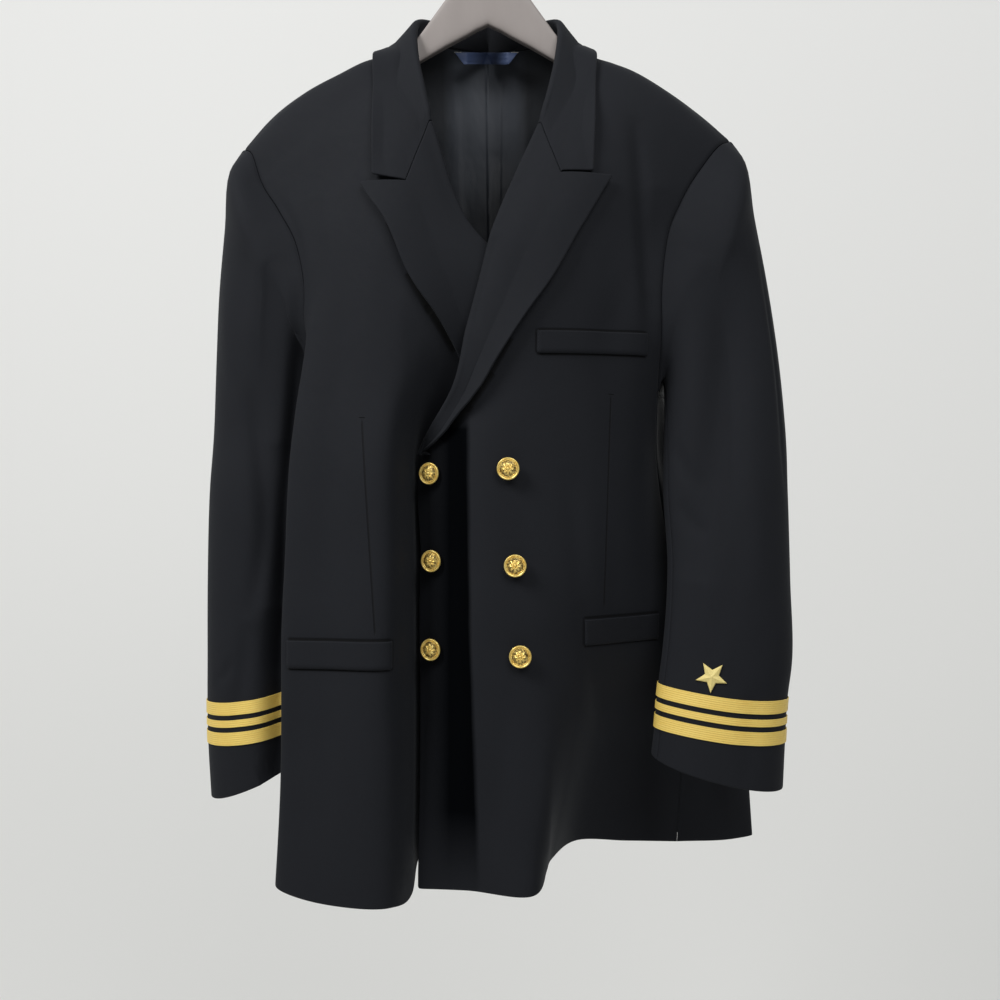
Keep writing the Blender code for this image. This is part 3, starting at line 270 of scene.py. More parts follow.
# The hook's wire, of this radius. Columns: x and z of its middle.
HOOK_WIRE = 2.4
HOOK = ((0, -76), (0, -54), (8, -41), (18.5, -29), (20.4, -18), (14.5, -3.5), (0, 2.4), (-14.5, -3.5),
        (-20.4, -18), (-19, -26))


class Value:
    """A shader socket with the operators of arithmetic."""

    def __init__(self, tree, socket):
        self.tree = tree
        self.socket = socket

    def _math(self, operation, *others, clamp=False):
        """The result of one Math node."""
        node = self.tree.nodes.new("ShaderNodeMath")
        node.operation = operation
        node.use_clamp = clamp
        for place, item in enumerate(others):
            if isinstance(item, Value):
                self.tree.links.new(item.socket, node.inputs[place])
            else:
                node.inputs[place].default_value = item
        return Value(self.tree, node.outputs[0])

    def __add__(self, other):
        return self._math("ADD", self, other)

    def __sub__(self, other):
        return self._math("SUBTRACT", self, other)

    def __rsub__(self, other):
        return self._math("SUBTRACT", other, self)

    def __mul__(self, other):
        return self._math("MULTIPLY", self, other)

    def __truediv__(self, other):
        return self._math("DIVIDE", self, other)

    __radd__ = __add__

    def largest(self, other):
        """The larger of two values."""
        return self._math("MAXIMUM", self, other)

    def size(self):
        """The value without its sign."""
        return self._math("ABSOLUTE", self)

    def clipped(self):
        """The value kept between 0 and 1."""
        return self._math("ADD", self, 0.0, clamp=True)

    def wave(self, pitch):
        """A wave between -1 and 1 that repeats at this pitch."""
        return self._math("SINE", self * (2 * math.pi / pitch))

    def ridges(self, pitch):
        """The same wave between 0 and 1."""
        return self.wave(pitch) * 0.5 + 0.5

    def rising(self, low, high):
        """0 up to the low value, 1 from the high value on, and even between them."""
        return ((self - low) / (high - low)).clipped()

    def falling(self, low, high):
        """1 up to the low value, 0 from the high value on, and even between them."""
        return ((high - self) / (high - low)).clipped()


# The share of a stroke's length over which each of its ends fades out.
STROKE_END = 0.025
# Where the colour Mix node keeps its factor and its two colours, and where it gives the result.
MIX_FACTOR, MIX_FROM, MIX_TO = 0, 6, 7
MIX_RESULT = 2


class Finish:
    """A Principled material and the nodes that feed it."""

    def __init__(self, name, colour, roughness, metallic=0.0, **constants):
        self.material = bpy.data.materials.new(name)
        self.material.use_nodes = True
        self.tree = self.material.node_tree
        self.shader = self.tree.nodes["Principled BSDF"]
        self.set("Base Color", (*colour, 1))
        self.set("Roughness", roughness)
        self.set("Metallic", metallic)
        for key, value in constants.items():
            self.set(key.replace("_", " "), value)

    def feed(self, socket, value):
        """Links a value to a socket, or sets the socket's own."""
        if isinstance(value, Value):
            value = value.socket
        if isinstance(value, bpy.types.NodeSocket):
            self.tree.links.new(value, socket)
        else:
            socket.default_value = value

    def set(self, socket, value):
        """Feeds one of the shader's own sockets."""
        self.feed(self.shader.inputs[socket], value)

    def node(self, kind, **inputs):
        """A new node with its sockets fed."""
        made = self.tree.nodes.new(kind)
        for key, value in inputs.items():
            self.feed(made.inputs[key.replace("_", " ")], value)
        return made

    def value(self, socket):
        """A socket to calculate with."""
        return Value(self.tree, socket)

    def along(self):
        """The cloth's own two directions, in millimetres."""
        split_up = self.node("ShaderNodeSeparateXYZ", Vector=self.node("ShaderNodeUVMap").outputs["UV"])
        return [self.value(split_up.outputs[axis]) * 1000 for axis in "XY"]

    def object_place(self):
        """Where the point lies in its piece's own frame, in metres."""
        return self.node("ShaderNodeTexCoord").outputs["Object"]

    def place(self):
        """Where the point lies in the part's frame, in millimetres."""
        split_up = self.node("ShaderNodeSeparateXYZ", Vector=self.object_place())
        return [self.value(split_up.outputs[axis]) * 1000 for axis in "XYZ"]

    def noise(self, scale, detail=2.0, roughness=0.5, stretch=(1, 1, 1), own=True):
        """Noise over the cloth's own two directions, or over the point's place."""
        source = self.node("ShaderNodeUVMap").outputs["UV"] if own else self.object_place()
        mapped = self.node("ShaderNodeMapping", Vector=source, Scale=stretch)
        made = self.node("ShaderNodeTexNoise", Vector=mapped.outputs["Vector"], Scale=scale, Detail=detail,
                         Roughness=roughness)
        return self.value(made.outputs["Fac"])

    def blend(self, factor, one, other):
        """A colour between two others."""
        mix = self.node("ShaderNodeMix")
        mix.data_type = "RGBA"
        for place, value in ((MIX_FACTOR, factor), (MIX_FROM, one), (MIX_TO, other)):
            self.feed(mix.inputs[place], (*value, 1) if isinstance(value, tuple) else value)
        return mix.outputs[MIX_RESULT]

    def relief(self, height, depth):
        """Bump from a height that stands for this many millimetres."""
        made = self.node("ShaderNodeBump", Strength=1.0, Distance=depth * MM, Height=height)
        self.set("Normal", made.outputs["Normal"])

    def stroke(self, x, z, ends, half_width):
        """1 along a line between two points seen from the front, falling to 0 beside it."""
        (x0, z0), (x1, z1) = ends
        length = math.hypot(x1 - x0, z1 - z0)
        ux, uz = (x1 - x0) / length, (z1 - z0) / length
        on = ((x - x0) * ux + (z - z0) * uz) / length
        beside = ((x - x0) * uz - (z - z0) * ux).size() / half_width
        near = (1 - beside * beside).largest(0)
        inside = on.rising(0, STROKE_END) * on.falling(1 - STROKE_END, 1)
        return near * inside


# The darts sewn down each front, from their upper end to the pocket. Columns: x and z of each end.
DARTS = {
    "left": ((124, -514), (117, -727)),
    "right": ((-123, -539), (-109, -752)),
}
# A dart's half width, and half the length and the half width of the tack sewn across its upper end.
DART_WIDTH = 1.1
TACK_REACH = 3
TACK_WIDTH = 0.8

# Painted shade on the strip along the free edge of the wearer's left front, where it lies in shadow beside
# the
# crest of its fold. Columns: x and z of three places on the crest, from the top down.
STRIP_SHADE = ((-22, -540), (-15, -740), (-14, -1010))

# Painted shade where a front lies in the narrow gap beside a piece sewn on it or folded over it. Columns: x
# and z of each end, the half width and how dark the painted shade is.
SHADED_GAPS = {
    "left": (
        (48, -450.5, 162, -448.5, 1.5, 0.8),
        (48, -474.6, 162, -472.6, 2.0, 0.9),
        (48, -450, 48, -474, 1.3, 0.6),
        (162, -448, 162, -473, 1.3, 0.6),
        (96, -736.5, 177, -734.5, 1.8, 0.9),
        (96, -765.2, 177, -763.2, 1.6, 0.7),
        (96, -736, 96, -765, 1.3, 0.6),
        (24, -459, 1, -499, 3.0, 0.85),
        (5, -493, -22, -531, 5.0, 0.95),
        (-17, -524, -47, -559, 6.5, 0.95),
    ),
    "right": (
        (-199, -756.6, -93, -755.6, 2.0, 0.9),
        (-199, -786.2, -93, -785.2, 1.8, 0.8),
        (-93, -755, -93, -786, 1.4, 0.7),
        (-99, -342, -73, -400, 3.2, 0.95),
        (-78, -393, -55, -433, 6.0, 1.0),
        (-60, -425, -32, -470, 5.0, 1.0),
    ),
}


def wool(name, dart=None, strip_shade=None, shaded_gaps=()):
    """Near-black navy worsted: a fine twill with a soft nap, a few paler fibres, the odd speck of lint, and
    on the fronts painted shade.
    """
    cloth = Finish(name, (0.0085, 0.0100, 0.0150), 0.85, Sheen_Weight=0.035, Sheen_Roughness=0.5,
                   Sheen_Tint=(0.75, 0.80, 0.85, 1), Specular_IOR_Level=0.22)
    u, v = cloth.along()
    slub = cloth.noise(900, 3, 0.6, (0.35, 1, 1))
    heather = cloth.noise(110, 4, 0.65)
    patches = cloth.noise(14, 3, 0.5)
    tone = (slub * 0.45 + heather * 0.35 + patches * 0.35 - 0.2).clipped()
    ground = cloth.blend(tone, (0.0068, 0.0078, 0.0107), (0.0139, 0.0154, 0.0197))
    lint = ((cloth.noise(420, 1, 0.5, (1, 0.7, 1)) - 0.80) * 12).clipped()
    wear_and_painted_shade = cloth.blend(lint * 0.16, ground, (0.14, 0.15, 0.16))
    cloth.set("Roughness", (heather * 0.16 + 0.74).clipped())
    twill = (u + v).ridges(1.1)
    height = twill * 0.35 + slub * 0.9 + heather * 0.8
    if dart:
        x, _, z = cloth.place()
        line = cloth.stroke(x, z, dart, DART_WIDTH)
        top_x, top_z = dart[0]
        tack = ((top_x - TACK_REACH, top_z + 1), (top_x + TACK_REACH, top_z + 1))
        sewn = line.largest(cloth.stroke(x, z, tack, TACK_WIDTH))
        height = height - sewn * 6.0
        wear_and_painted_shade = cloth.blend(sewn * 0.75, wear_and_painted_shade, (0.001, 0.001, 0.0015))
        # Painted shade in the gaps beside the welts and under the lapels' edges, with a groove in the relief.
        for x0, z0, x1, z1, half_width, darkness in shaded_gaps:
            gap = cloth.stroke(x, z, ((x0, z0), (x1, z1)), half_width)
            wear_and_painted_shade = cloth.blend(gap * darkness, wear_and_painted_shade, (0.0006, 0.0006, 0.0008))
            height = height - gap * (3.0 * darkness)
    cloth.set("Base Color", wear_and_painted_shade)
    cloth.relief(height, 0.10)
    # Painted shade along the strip of the left front beside its fold's crest.
    if strip_shade:
        paint_strip_shade(cloth, strip_shade)
    return cloth.material


def paint_strip_shade(cloth, crest):
    """Paints shade between the free edge and a fold's crest, by mixing a dark diffuse shader over the cloth.
    """
    x, _, z = cloth.place()
    (x0, z0), (x1, z1), (x2, z2) = crest
    upper = x0 + (z0 - z) * ((x1 - x0) / (z0 - z1))
    lower = x1 + (z1 - z) * ((x2 - x1) / (z1 - z2))
    wander = (cloth.noise(9, 2, 0.5, own=False) - 0.5) * 5
    beside = (upper.largest(lower) + wander - x).rising(0, 5)
    down = z.falling(-549, -533) * z.rising(-1020, -930)
    # The painted shade deepens towards the crest.
    towards_edge = x.rising(-62, -38) * 0.75 + 0.2
    dark = cloth.node("ShaderNodeBsdfDiffuse", Color=(0.0012, 0.0015, 0.0020, 1))
    mixed = cloth.node("ShaderNodeMixShader", Fac=beside * down * towards_edge)
    cloth.feed(mixed.inputs[1], cloth.shader.outputs[0])
    cloth.feed(mixed.inputs[2], dark.outputs[0])
    cloth.feed(cloth.tree.nodes["Material Output"].inputs["Surface"], mixed.outputs[0])


def satin():
    """Dark navy satin lining, with painted light: shaded lower down and at its sides beside the lapels,
    lighter towards -X.
    """
    cloth = Finish("navy_satin", (0.030, 0.036, 0.050), 0.45, Sheen_Weight=0.03, Specular_IOR_Level=0.30)
    threads = cloth.noise(1600, 2, 0.5, (1, 0.12, 1))
    wrinkle = cloth.noise(26, 3, 0.55, (1, 0.45, 1))
    x, _, z = cloth.place()
    # Painted shade lower down in the neck's opening.
    painted_shade_low = z.rising(-310, -190) * 0.85 + 0.15
    # Painted shade at the sides, beside the lapels.
    middle = x.rising(-50, -36) * x.falling(29, 43) * 0.75 + 0.25
    tone = ((wrinkle * 1.4 - 0.2).clipped() * 0.4 + 0.6) * painted_shade_low * middle
    # Painted light: lighter towards -X.
    light = cloth.blend(x.falling(-12, 12), (0.041, 0.047, 0.059), (0.078, 0.088, 0.107))
    cloth.set("Base Color", cloth.blend(tone, (0.004, 0.005, 0.007), light))
    cloth.set("Roughness", (0.42 + wrinkle * 0.2).clipped())
    cloth.relief(threads * 0.2 + wrinkle * 6.0, 0.35)
    return cloth.material


def label_weave():
    """The bare label: blue woven ribbon."""
    cloth = Finish("label_blue", (0.022, 0.045, 0.115), 0.6, Sheen_Weight=0.15)
    u, v = cloth.along()
    rib, rows = u.ridges(0.7), v.ridges(0.5)
    cloth.set("Base Color", cloth.blend(rib * 0.6, (0.026, 0.046, 0.115), (0.042, 0.072, 0.165)))
    cloth.relief(rib * 0.5 + rows * 0.5, 0.04)
    return cloth.material


def bullion(name="gold_lace", ribs=True, dark=(0.92, 0.60, 0.11), light=(1.0, 0.80, 0.23)):
    """Woven gold braid: flattened metal thread over lengthwise ribs, a little tarnished."""
    cloth = Finish(name, (0.80, 0.52, 0.13), 0.42, 0.04, Specular_IOR_Level=0.6)
    u, v = cloth.along()
    cross = (u + v.wave(3.2) * 0.25).ridges(0.75)
    fine = cloth.noise(700, 2, 0.5, (1, 0.3, 1))
    tarnish = cloth.noise(60, 3, 0.6, (0.4, 1, 1))
    height = cross * 0.5 + fine * 0.5
    shade = fine * 0.5 + tarnish * 0.6 - 0.15
    if ribs:
        lengthwise = v.ridges(2.1)
        height = height + lengthwise * 1.2
        shade = shade + lengthwise * 0.25 - 0.1
    cloth.set("Base Color", cloth.blend(shade.clipped(), dark, light))
    cloth.set("Roughness", (0.36 + tarnish * 0.2).clipped())
    cloth.relief(height, 0.16)
    return cloth.material


def gilt(name="gilt", shade_recesses=False):
    """Polished gilt with fine wear, and with painted shade, broken by spots, in the recesses of the buttons'
    faces.
    """
    metal = Finish(name, (0.90, 0.66, 0.26), 0.30, 0.5)
    wear = metal.noise(260, 3, 0.6, own=False)
    shade = metal.blend((wear * 1.6 - 0.3).clipped(), (0.96, 0.60, 0.10), (1.0, 0.84, 0.32))
    if shade_recesses:
        radius, relief = metal.along()
        # Painted shade where the face's relief is low inside its rim.
        low = ((0.34 - relief) * 4).clipped() * ((9.3 - radius) * 3).clipped()
        spots = ((metal.noise(620, 2, 0.6, own=False) - 0.42) * 7).clipped()
        shade = metal.blend(low * (0.25 + spots * 0.65), shade, (0.075, 0.034, 0.006))
    metal.set("Base Color", shade)
    metal.set("Roughness", (0.20 + wear * 0.25).clipped())
    metal.relief(wear, 0.05)
    return metal.material


def painted_hanger():
    """The hanger's satin grey-taupe finish with a faint mottle."""
    paint = Finish("hanger_grey", (0.35, 0.32, 0.30), 0.5)
    mottle = paint.noise(35, 4, 0.6, (1, 1, 0.4), own=False)
    grain = paint.noise(500, 2, 0.5, own=False)
    paint.set("Base Color", paint.blend(mottle, (0.270, 0.240, 0.226), (0.335, 0.300, 0.285)))
    paint.set("Roughness", (0.42 + mottle * 0.16).clipped())
    paint.relief(grain, 0.03)
    return paint.material


def bright_wire():
    """Bright steel wire with faint drawing lines."""
    steel = Finish("steel", (0.62, 0.62, 0.63), 0.22, 1.0)
    lines = steel.noise(900, 2, 0.5, (1, 1, 0.2), own=False)
    steel.set("Roughness", (0.14 + lines * 0.2).clipped())
    steel.relief(lines, 0.01)
    return steel.material


def thread(name, colour, roughness=0.7):
    """Sewing thread with its twist."""
    strand = Finish(name, colour, roughness)
    twist = strand.noise(1500, 1, 0.5, own=False)
    darker = tuple(c * 0.7 for c in colour)
    strand.set("Base Color", strand.blend(twist, darker, colour))
    strand.relief(twist, 0.03)
    return strand.material


LOOKS = {
    "wool": wool("navy_wool"),
    "front_left": wool("navy_wool_left_front", DARTS["left"], STRIP_SHADE, SHADED_GAPS["left"]),
    "front_right": wool("navy_wool_right_front", DARTS["right"], None, SHADED_GAPS["right"]),
    "satin": satin(),
    "label": label_weave(),
    "lace": bullion(),
    "star": bullion("gold_star", False, (0.86, 0.66, 0.20), (1.0, 0.90, 0.40)),
    "gilt": gilt("gilt_face", shade_recesses=True),
    "gilt_beads": gilt("gilt_beads"),
    "hanger": painted_hanger(),
    "wire": bright_wire(),
    "navy_thread": thread("navy_thread", (0.012, 0.015, 0.024)),
    "white_thread": thread("white_thread", (0.62, 0.62, 0.58)),
}


def spline_weights(knots, places):
    """How much of each knot's value a smooth curve through the knots takes at each place."""
    knots = np.asarray(knots, float)
    count = len(knots)
    slopes = np.zeros((count, count))
    steps = np.diff(knots)
    for k in range(count):
        if k in (0, count - 1):
            a = min(k, count - 2)
            slopes[k, a] -= 1 / steps[a]
            slopes[k, a + 1] += 1 / steps[a]
            continue
        before, after = steps[k - 1], steps[k]
        slopes[k, k - 1] -= after / before / (before + after)
        slopes[k, k] += (after / before - before / after) / (before + after)
        slopes[k, k + 1] += before / after / (before + after)
    weights = np.zeros((len(places), count))
    for row, place in enumerate(places):
        k = int(np.clip(np.searchsorted(knots, place, side="right") - 1, 0, count - 2))
        h = steps[k]
        t = (place - knots[k]) / h
        weights[row, k] += 2 * t**3 - 3 * t**2 + 1
        weights[row, k + 1] += 3 * t**2 - 2 * t**3
        weights[row] += (t**3 - 2 * t**2 + t) * h * slopes[k]
        weights[row] += (t**3 - t**2) * h * slopes[k + 1]
    return weights


def curve(points, places, knots=None):
    """A smooth curve through the points, sampled at places from 0 to 1."""
    points = np.asarray(points, float)
    if knots is None:
        knots = np.concatenate(([0], np.cumsum(np.linalg.norm(np.diff(points, axis=0), axis=1))))
        knots = knots / knots[-1]
    return spline_weights(knots, places) @ points


class Cloth:
    """A smooth surface through a net of points: rows go up from the hem, columns go across."""

    def __init__(self, net):
        self.net = np.asarray(net, float)
        rise = np.linalg.norm(np.diff(self.net, axis=0), axis=2).mean(axis=1)
        run = np.linalg.norm(np.diff(self.net, axis=1), axis=2).mean(axis=0)
        self.up = np.concatenate(([0], np.cumsum(rise))) / rise.sum()
        self.across = np.concatenate(([0], np.cumsum(run))) / run.sum()

    def grid(self, across, up):
        """The surface at places across it and up it, each from 0 to 1."""
        part = np.einsum("vr,rcx->vcx", spline_weights(self.up, up), self.net)
        return np.einsum("uc,vcx->vux", spline_weights(self.across, across), part)

    def column(self, across, up):
        """One line up the surface."""
        return self.grid([across], up)[:, 0]


def front_cloth(rows, hem):
    """The front's surface from its table."""
    net = []
    for row in rows:
        z = spline_weights([0, 3, 6], range(7)) @ np.array(row[:3])
        net.append([(row[3 + 2 * k], row[4 + 2 * k], z[k]) for k in range(7)])
    for k in range(7):
        net[0][k] = (net[0][k][0], net[0][k][1], hem[k])
    return Cloth(net)


def back_cloth(rows):
    """The back's surface from its table."""
    net = []
    for z0, z1, z2, z3, y0, x1, y1, x2, y2, x3, y3 in rows:
        net.append([(0, y0, z0), (x1, y1, z1), (x2, y2, z2), (x3, y3, z3)])
    return Cloth(net)


def level(cloth, levels, name):
    """Where a named level lies between the hem and the top."""
    return cloth.up[levels.index(name)]


def facing(grid, sign, wrap=False):
    """The outward directions of a grid of points."""
    along = np.gradient(grid, axis=0)
    if wrap:
        ring = np.concatenate((grid[:, -1:], grid, grid[:, :1]), axis=1)
        across = (ring[:, 2:] - ring[:, :-2]) / 2
    else:
        across = np.gradient(grid, axis=1)
    out = np.cross(across, along) * sign
    return out / np.linalg.norm(out, axis=2, keepdims=True)


def closed(grid):
    """A grid that goes round, with its first column again at its end."""
    return np.concatenate((grid, grid[:, :1]), axis=1)


def unit(vectors):
    """The vectors made one long."""
    return vectors / np.linalg.norm(vectors, axis=-1, keepdims=True)


def share(one, other):
    """Two edges that meet along a seam take the same directions."""
    both = unit(one + other)
    one[:] = both
    other[:] = both


def draw_in(grid, by=0.6 * SEAM, left=True, right=True, low=False, high=False):
    """The grid with its edges drawn back from the seam lines."""
    grid = grid.copy()
    if left:
        grid[:, 0] += by * unit(grid[:, 1] - grid[:, 0])
    if right:
        grid[:, -1] += by * unit(grid[:, -2] - grid[:, -1])
    if low:
        grid[0] += by * unit(grid[1] - grid[0])
    if high:
        grid[-1] += by * unit(grid[-2] - grid[-1])
    return grid


def skin(*grids):
    """A surface to measure from, made of grids and the sign that turns each one outwards."""
    points, faces = [], []
    for grid, sign in grids:
        start = len(points)
        rows, columns = grid.shape[:2]
        points += [tuple(p) for p in grid.reshape(-1, 3)]
        for r in range(rows - 1):
            for c in range(columns - 1):
                a = start + r * columns + c
                quad = (a, a + 1, a + columns + 1, a + columns)
                faces.append(quad if sign > 0 else tuple(reversed(quad)))
    return BVHTree.FromPolygons(points, faces)


def lying_on(cover, points, heights):
    """The points moved to stand the given heights off a surface."""
    out = []
    for point, height in zip(points, heights):
        place, normal, _, _ = cover.find_nearest(Vector(point))
        out.append(place + normal * height)
    return np.array(out)


def kept_off(cover, points, gap):
    """The points, with those nearer than the gap moved out to it."""
    out = []
    for point in points:
        place, normal, _, _ = cover.find_nearest(Vector(point))
        away = Vector(point) - place
        height = away.dot(normal)
        beside = (away - normal * height).length
        if height < gap and beside < 1:
            out.append(place + normal * gap)
        else:
            out.append(Vector(point))
    return np.array(out)


# Rays start this far in front of the jacket or behind it. One that misses the cloth takes the place nearest
# to a point this far out.
FAR = 400
FRONT_OUT = 75
FOLD_OUT = 60


def seen_on(cover, x, z):
    """The place on a surface straight behind x and z, and its outward direction."""
    place, normal, _, _ = cover.ray_cast(Vector((x, -FAR, z)), Vector((0, 1, 0)))
    if place is None:
        place, normal, _, _ = cover.find_nearest(Vector((x, -FRONT_OUT, z)))
    return np.array(place), np.array(normal)


# Each half of the jacket, with the sign of its own side along X.
LEFT = {
    "name": "left", "sign": 1, "front": front_cloth(LEFT_FRONT, LEFT_HEM), "back": back_cloth(LEFT_BACK),
    "side_rows": LEFT_SIDE, "lapel_rows": LEFT_LAPEL, "collar_rows": LEFT_COLLAR, "sleeve_rows": LEFT_SLEEVE,
}
RIGHT = {
    "name": "right", "sign": -1, "front": front_cloth(RIGHT_FRONT, RIGHT_HEM), "back": back_cloth(RIGHT_BACK),
    "side_rows": RIGHT_SIDE, "lapel_rows": RIGHT_LAPEL, "collar_rows": RIGHT_COLLAR,
    "sleeve_rows": RIGHT_SLEEVE,
}
# How finely each stretch of the panels is drawn: rows up the cloth and columns across it.
ROW_FINE = 8
COLUMN_FINE = 6
SKIRT_ROWS = 9 * ROW_FINE
ARM_ROWS = 2 * ROW_FINE
CHEST_ROWS = 7 * ROW_FINE
NECK_ROWS = 4 * ROW_FINE
LOW_ROWS = SKIRT_ROWS + ARM_ROWS + 1
HIGH_ROWS = CHEST_ROWS + NECK_ROWS
NECK_COLUMNS = 4 * COLUMN_FINE
SHOULDER_COLUMNS = 7 * COLUMN_FINE
FRONT_STEPS = 2 * SHOULDER_COLUMNS
SIDE_COLUMNS = 4 * ROW_FINE + 1
RING_POINTS = 2 * HIGH_ROWS + SIDE_COLUMNS - 1
# The steps round a turned edge, from there to the middle line of a lapel or of the collar's fall, on to its
# free edge, and up the collar's stand.
TURN_STEPS = 8
GORGE_STEPS = 14
REVERS_STEPS = 16
STAND_STEPS = 8
# How far a lapel leads off the front's edge before it turns, and the radius of that turn and of the collar's.
LEAD = 1.5
ROLL = 1.5
# The gap between the armhole and the sleeve, the rings over which the sleeve leaves the armhole's form, the
# points that a ring is first drawn with, and how flat the lower half of the first ring is.
ARMHOLE_GAP = 0.7
HEAD_RINGS = 6
RING_FINE = 180
FLATTENED = 0.6
# The stretches of the sleeve's net in its head, the rows in each, and the rows down the arm.
SLEEVE_HEAD_ROWS = 5
HEAD_FINE = 5
ARM_FINE = 90
# The columns where the sleeve's two pieces meet.
HIND_SEAM = 4 * ROW_FINE
FORE_SEAM = 14 * ROW_FINE


def stretches(places, counts):
    """Places in even steps between the given ones."""
    out = [places[0]]
    for low, high, count in zip(places, places[1:], counts):
        out += list(np.linspace(low, high, count + 1)[1:])
    return np.array(out)


def body_side(half):
    """The points of one half's front, side and back."""
    front, back = half["front"], half["back"]
    arm_back = level(back, BACK_LEVELS, "armpit")
    marks = [0] + [level(front, FRONT_LEVELS, name) for name in ("break", "armpit", "gorge")] + [1]
    front_up = stretches(marks, (SKIRT_ROWS, ARM_ROWS, CHEST_ROWS, NECK_ROWS))
    front_grid = front.grid(np.linspace(0, 1, FRONT_STEPS + 1), front_up)
    front_seam = front_grid[:LOW_ROWS, -1]
    share_up = (front_seam[:, 2] - front_seam[0, 2]) / (front_seam[-1, 2] - front_seam[0, 2])
    fine = np.linspace(0, arm_back, 200)
    seam_z = back.column(1, fine)[:, 2]
    back_low = np.interp(share_up, (seam_z - seam_z[0]) / (seam_z[-1] - seam_z[0]), fine)
    back_up = np.concatenate((back_low, np.linspace(arm_back, 1, HIGH_ROWS + 1)[1:]))
    neck = back.across[1]
    back_across = stretches((0, neck, 1), (NECK_COLUMNS, SHOULDER_COLUMNS))
    back_grid = back.grid(back_across, back_up)
    on_shoulder = np.clip((back_across - neck) / (1 - neck), 0, 1)
    target = front.grid(on_shoulder, [1])[0]
    target[back_across < neck] = back_grid[-1, back_across < neck]
    near_top = np.clip((back_up - back.up[-3]) / (1 - back.up[-3]), 0, 1)
    back_grid += (near_top**2)[:, None, None] * (target - back_grid[-1])[None]
    knots = [level(back, BACK_LEVELS, row[1]) / arm_back for row in half["side_rows"]]
    mid = spline_weights(knots, back_low / arm_back) @ np.array([row[2:] for row in half["side_rows"]], float)
    back_seam = back_grid[:LOW_ROWS, -1]
    side_grid = []
    for r in range(LOW_ROWS):
        z = np.linspace(front_seam[r, 2], back_seam[r, 2], 4)
        points = [front_seam[r], (mid[r, 0], mid[r, 1], z[1]), (mid[r, 2], mid[r, 3], z[2]), back_seam[r]]
        side_grid.append(curve(points, np.linspace(0, 1, SIDE_COLUMNS)))
    half.update(front_grid=front_grid, side_grid=np.array(side_grid), back_grid=back_grid)


def body_outs(half):
    """The outward directions of one half's panels, alike where two panels meet."""
    sign = half["sign"]
    front_out = facing(half["front_grid"], sign)
    side_out = facing(half["side_grid"], sign)
    back_out = facing(half["back_grid"], -sign)
    share(front_out[:LOW_ROWS, -1], side_out[:, 0])
    share(side_out[:, -1], back_out[:LOW_ROWS, -1])
    share(front_out[-1, ::FRONT_STEPS // SHOULDER_COLUMNS], back_out[-1, NECK_COLUMNS:])
    on_back = np.arange(FRONT_STEPS + 1) * SHOULDER_COLUMNS / FRONT_STEPS
    for k in range(3):
        shoulder_out = back_out[-1, NECK_COLUMNS:, k]
        front_out[-1, :, k] = np.interp(on_back, np.arange(SHOULDER_COLUMNS + 1), shoulder_out)
    back_out[:, 0, 0] = 0
    half.update(front_out=front_out, side_out=side_out, back_out=unit(back_out))


def press(half):
    """Presses the creases into one half's panels, and measures what the sleeve needs at the armhole."""
    sign = half["sign"]
    covers = {"front": skin((half["front_grid"], sign)), "back": skin((half["back_grid"], -sign))}
    for panel, kinds in (("front", ("front",)), ("side", ("front", "back")), ("back", ("back",))):
        half[panel + "_grid"] = creased(half[panel + "_grid"], half[panel + "_out"], covers, kinds)
    body_outs(half)
    front_grid, side_grid, back_grid = (half[panel + "_grid"] for panel in ("front", "side", "back"))
    off_front = unit(front_grid[:, -1] - front_grid[:, -2])
    off_back = unit(back_grid[:, -1] - back_grid[:, -2])
    off_side = unit(side_grid[-1] - side_grid[-2])
    off_side[0] = unit(off_side[0] + off_front[LOW_ROWS - 1])
    off_side[-1] = unit(off_side[-1] + off_back[LOW_ROWS - 1])
    off_front[LOW_ROWS - 1], off_back[LOW_ROWS - 1] = off_side[0], off_side[-1]
    half.update(front_away=off_front[:, None], back_away=off_back[:, None], side_away=off_side[None])
    half["front_skin"] = skin((front_grid, sign))


def body_skin():
    """The body's whole outer surface, to measure from."""
    return skin((RIGHT["front_grid"], -1), (RIGHT["back_grid"], 1), (LEFT["front_grid"], 1),
                (LEFT["back_grid"], -1))


def turn(start, inward, outward, radius, steps):
    """Points round a half turn that starts at a point, goes out along inward and comes back above it."""
    centre = start + radius * outward
    angles = np.linspace(0, math.pi, steps + 1)
    return [centre + radius * (inward * math.sin(a) - outward * math.cos(a)) for a in angles]


def edge_frame(grid, out):
    """Directions off the grid's first column: away from the panel, and outwards."""
    outward = out[:, 0]
    away = grid[:, 0] - grid[:, 1]
    away = away - outward * np.einsum("ij,ij->i", away, outward)[:, None]
    return unit(away), outward


def length_shares(points):
    """How far along a line each of its points lies, from 0 to 1."""
    lengths = np.concatenate(([0], np.cumsum(np.linalg.norm(np.diff(points, axis=0), axis=1))))
    return lengths / lengths[-1]


def halves(loop, half_way, shares):
    """A closed loop sampled at the given shares of each half's length."""
    rear, fore = loop[:half_way + 1], np.concatenate((loop[half_way:], loop[:1]))
    return np.concatenate((curve(rear, shares[0])[:-1], curve(fore, shares[1])[:-1]))


def ring(numbers, shares, flat):
    """A sleeve's section, from its outer point round by the back, flattened towards its inner side."""
    x_in, z_in, x_out, z_out, y, depth, fall = numbers
    angles = np.linspace(0, 2 * math.pi, RING_FINE + 1)[:-1, None]
    swing = np.cos(angles)
    swing = np.where(swing < 0, -np.abs(swing)**flat, swing)
    middle = np.array(((x_in + x_out) / 2, y, (z_in + z_out) / 2))
    reach = np.array(((x_out - x_in) / 2, 0, (z_out - z_in) / 2))
    loop = middle + swing * reach + np.sin(angles) * np.array((0, depth, fall))
    return halves(loop, RING_FINE // 2, shares)


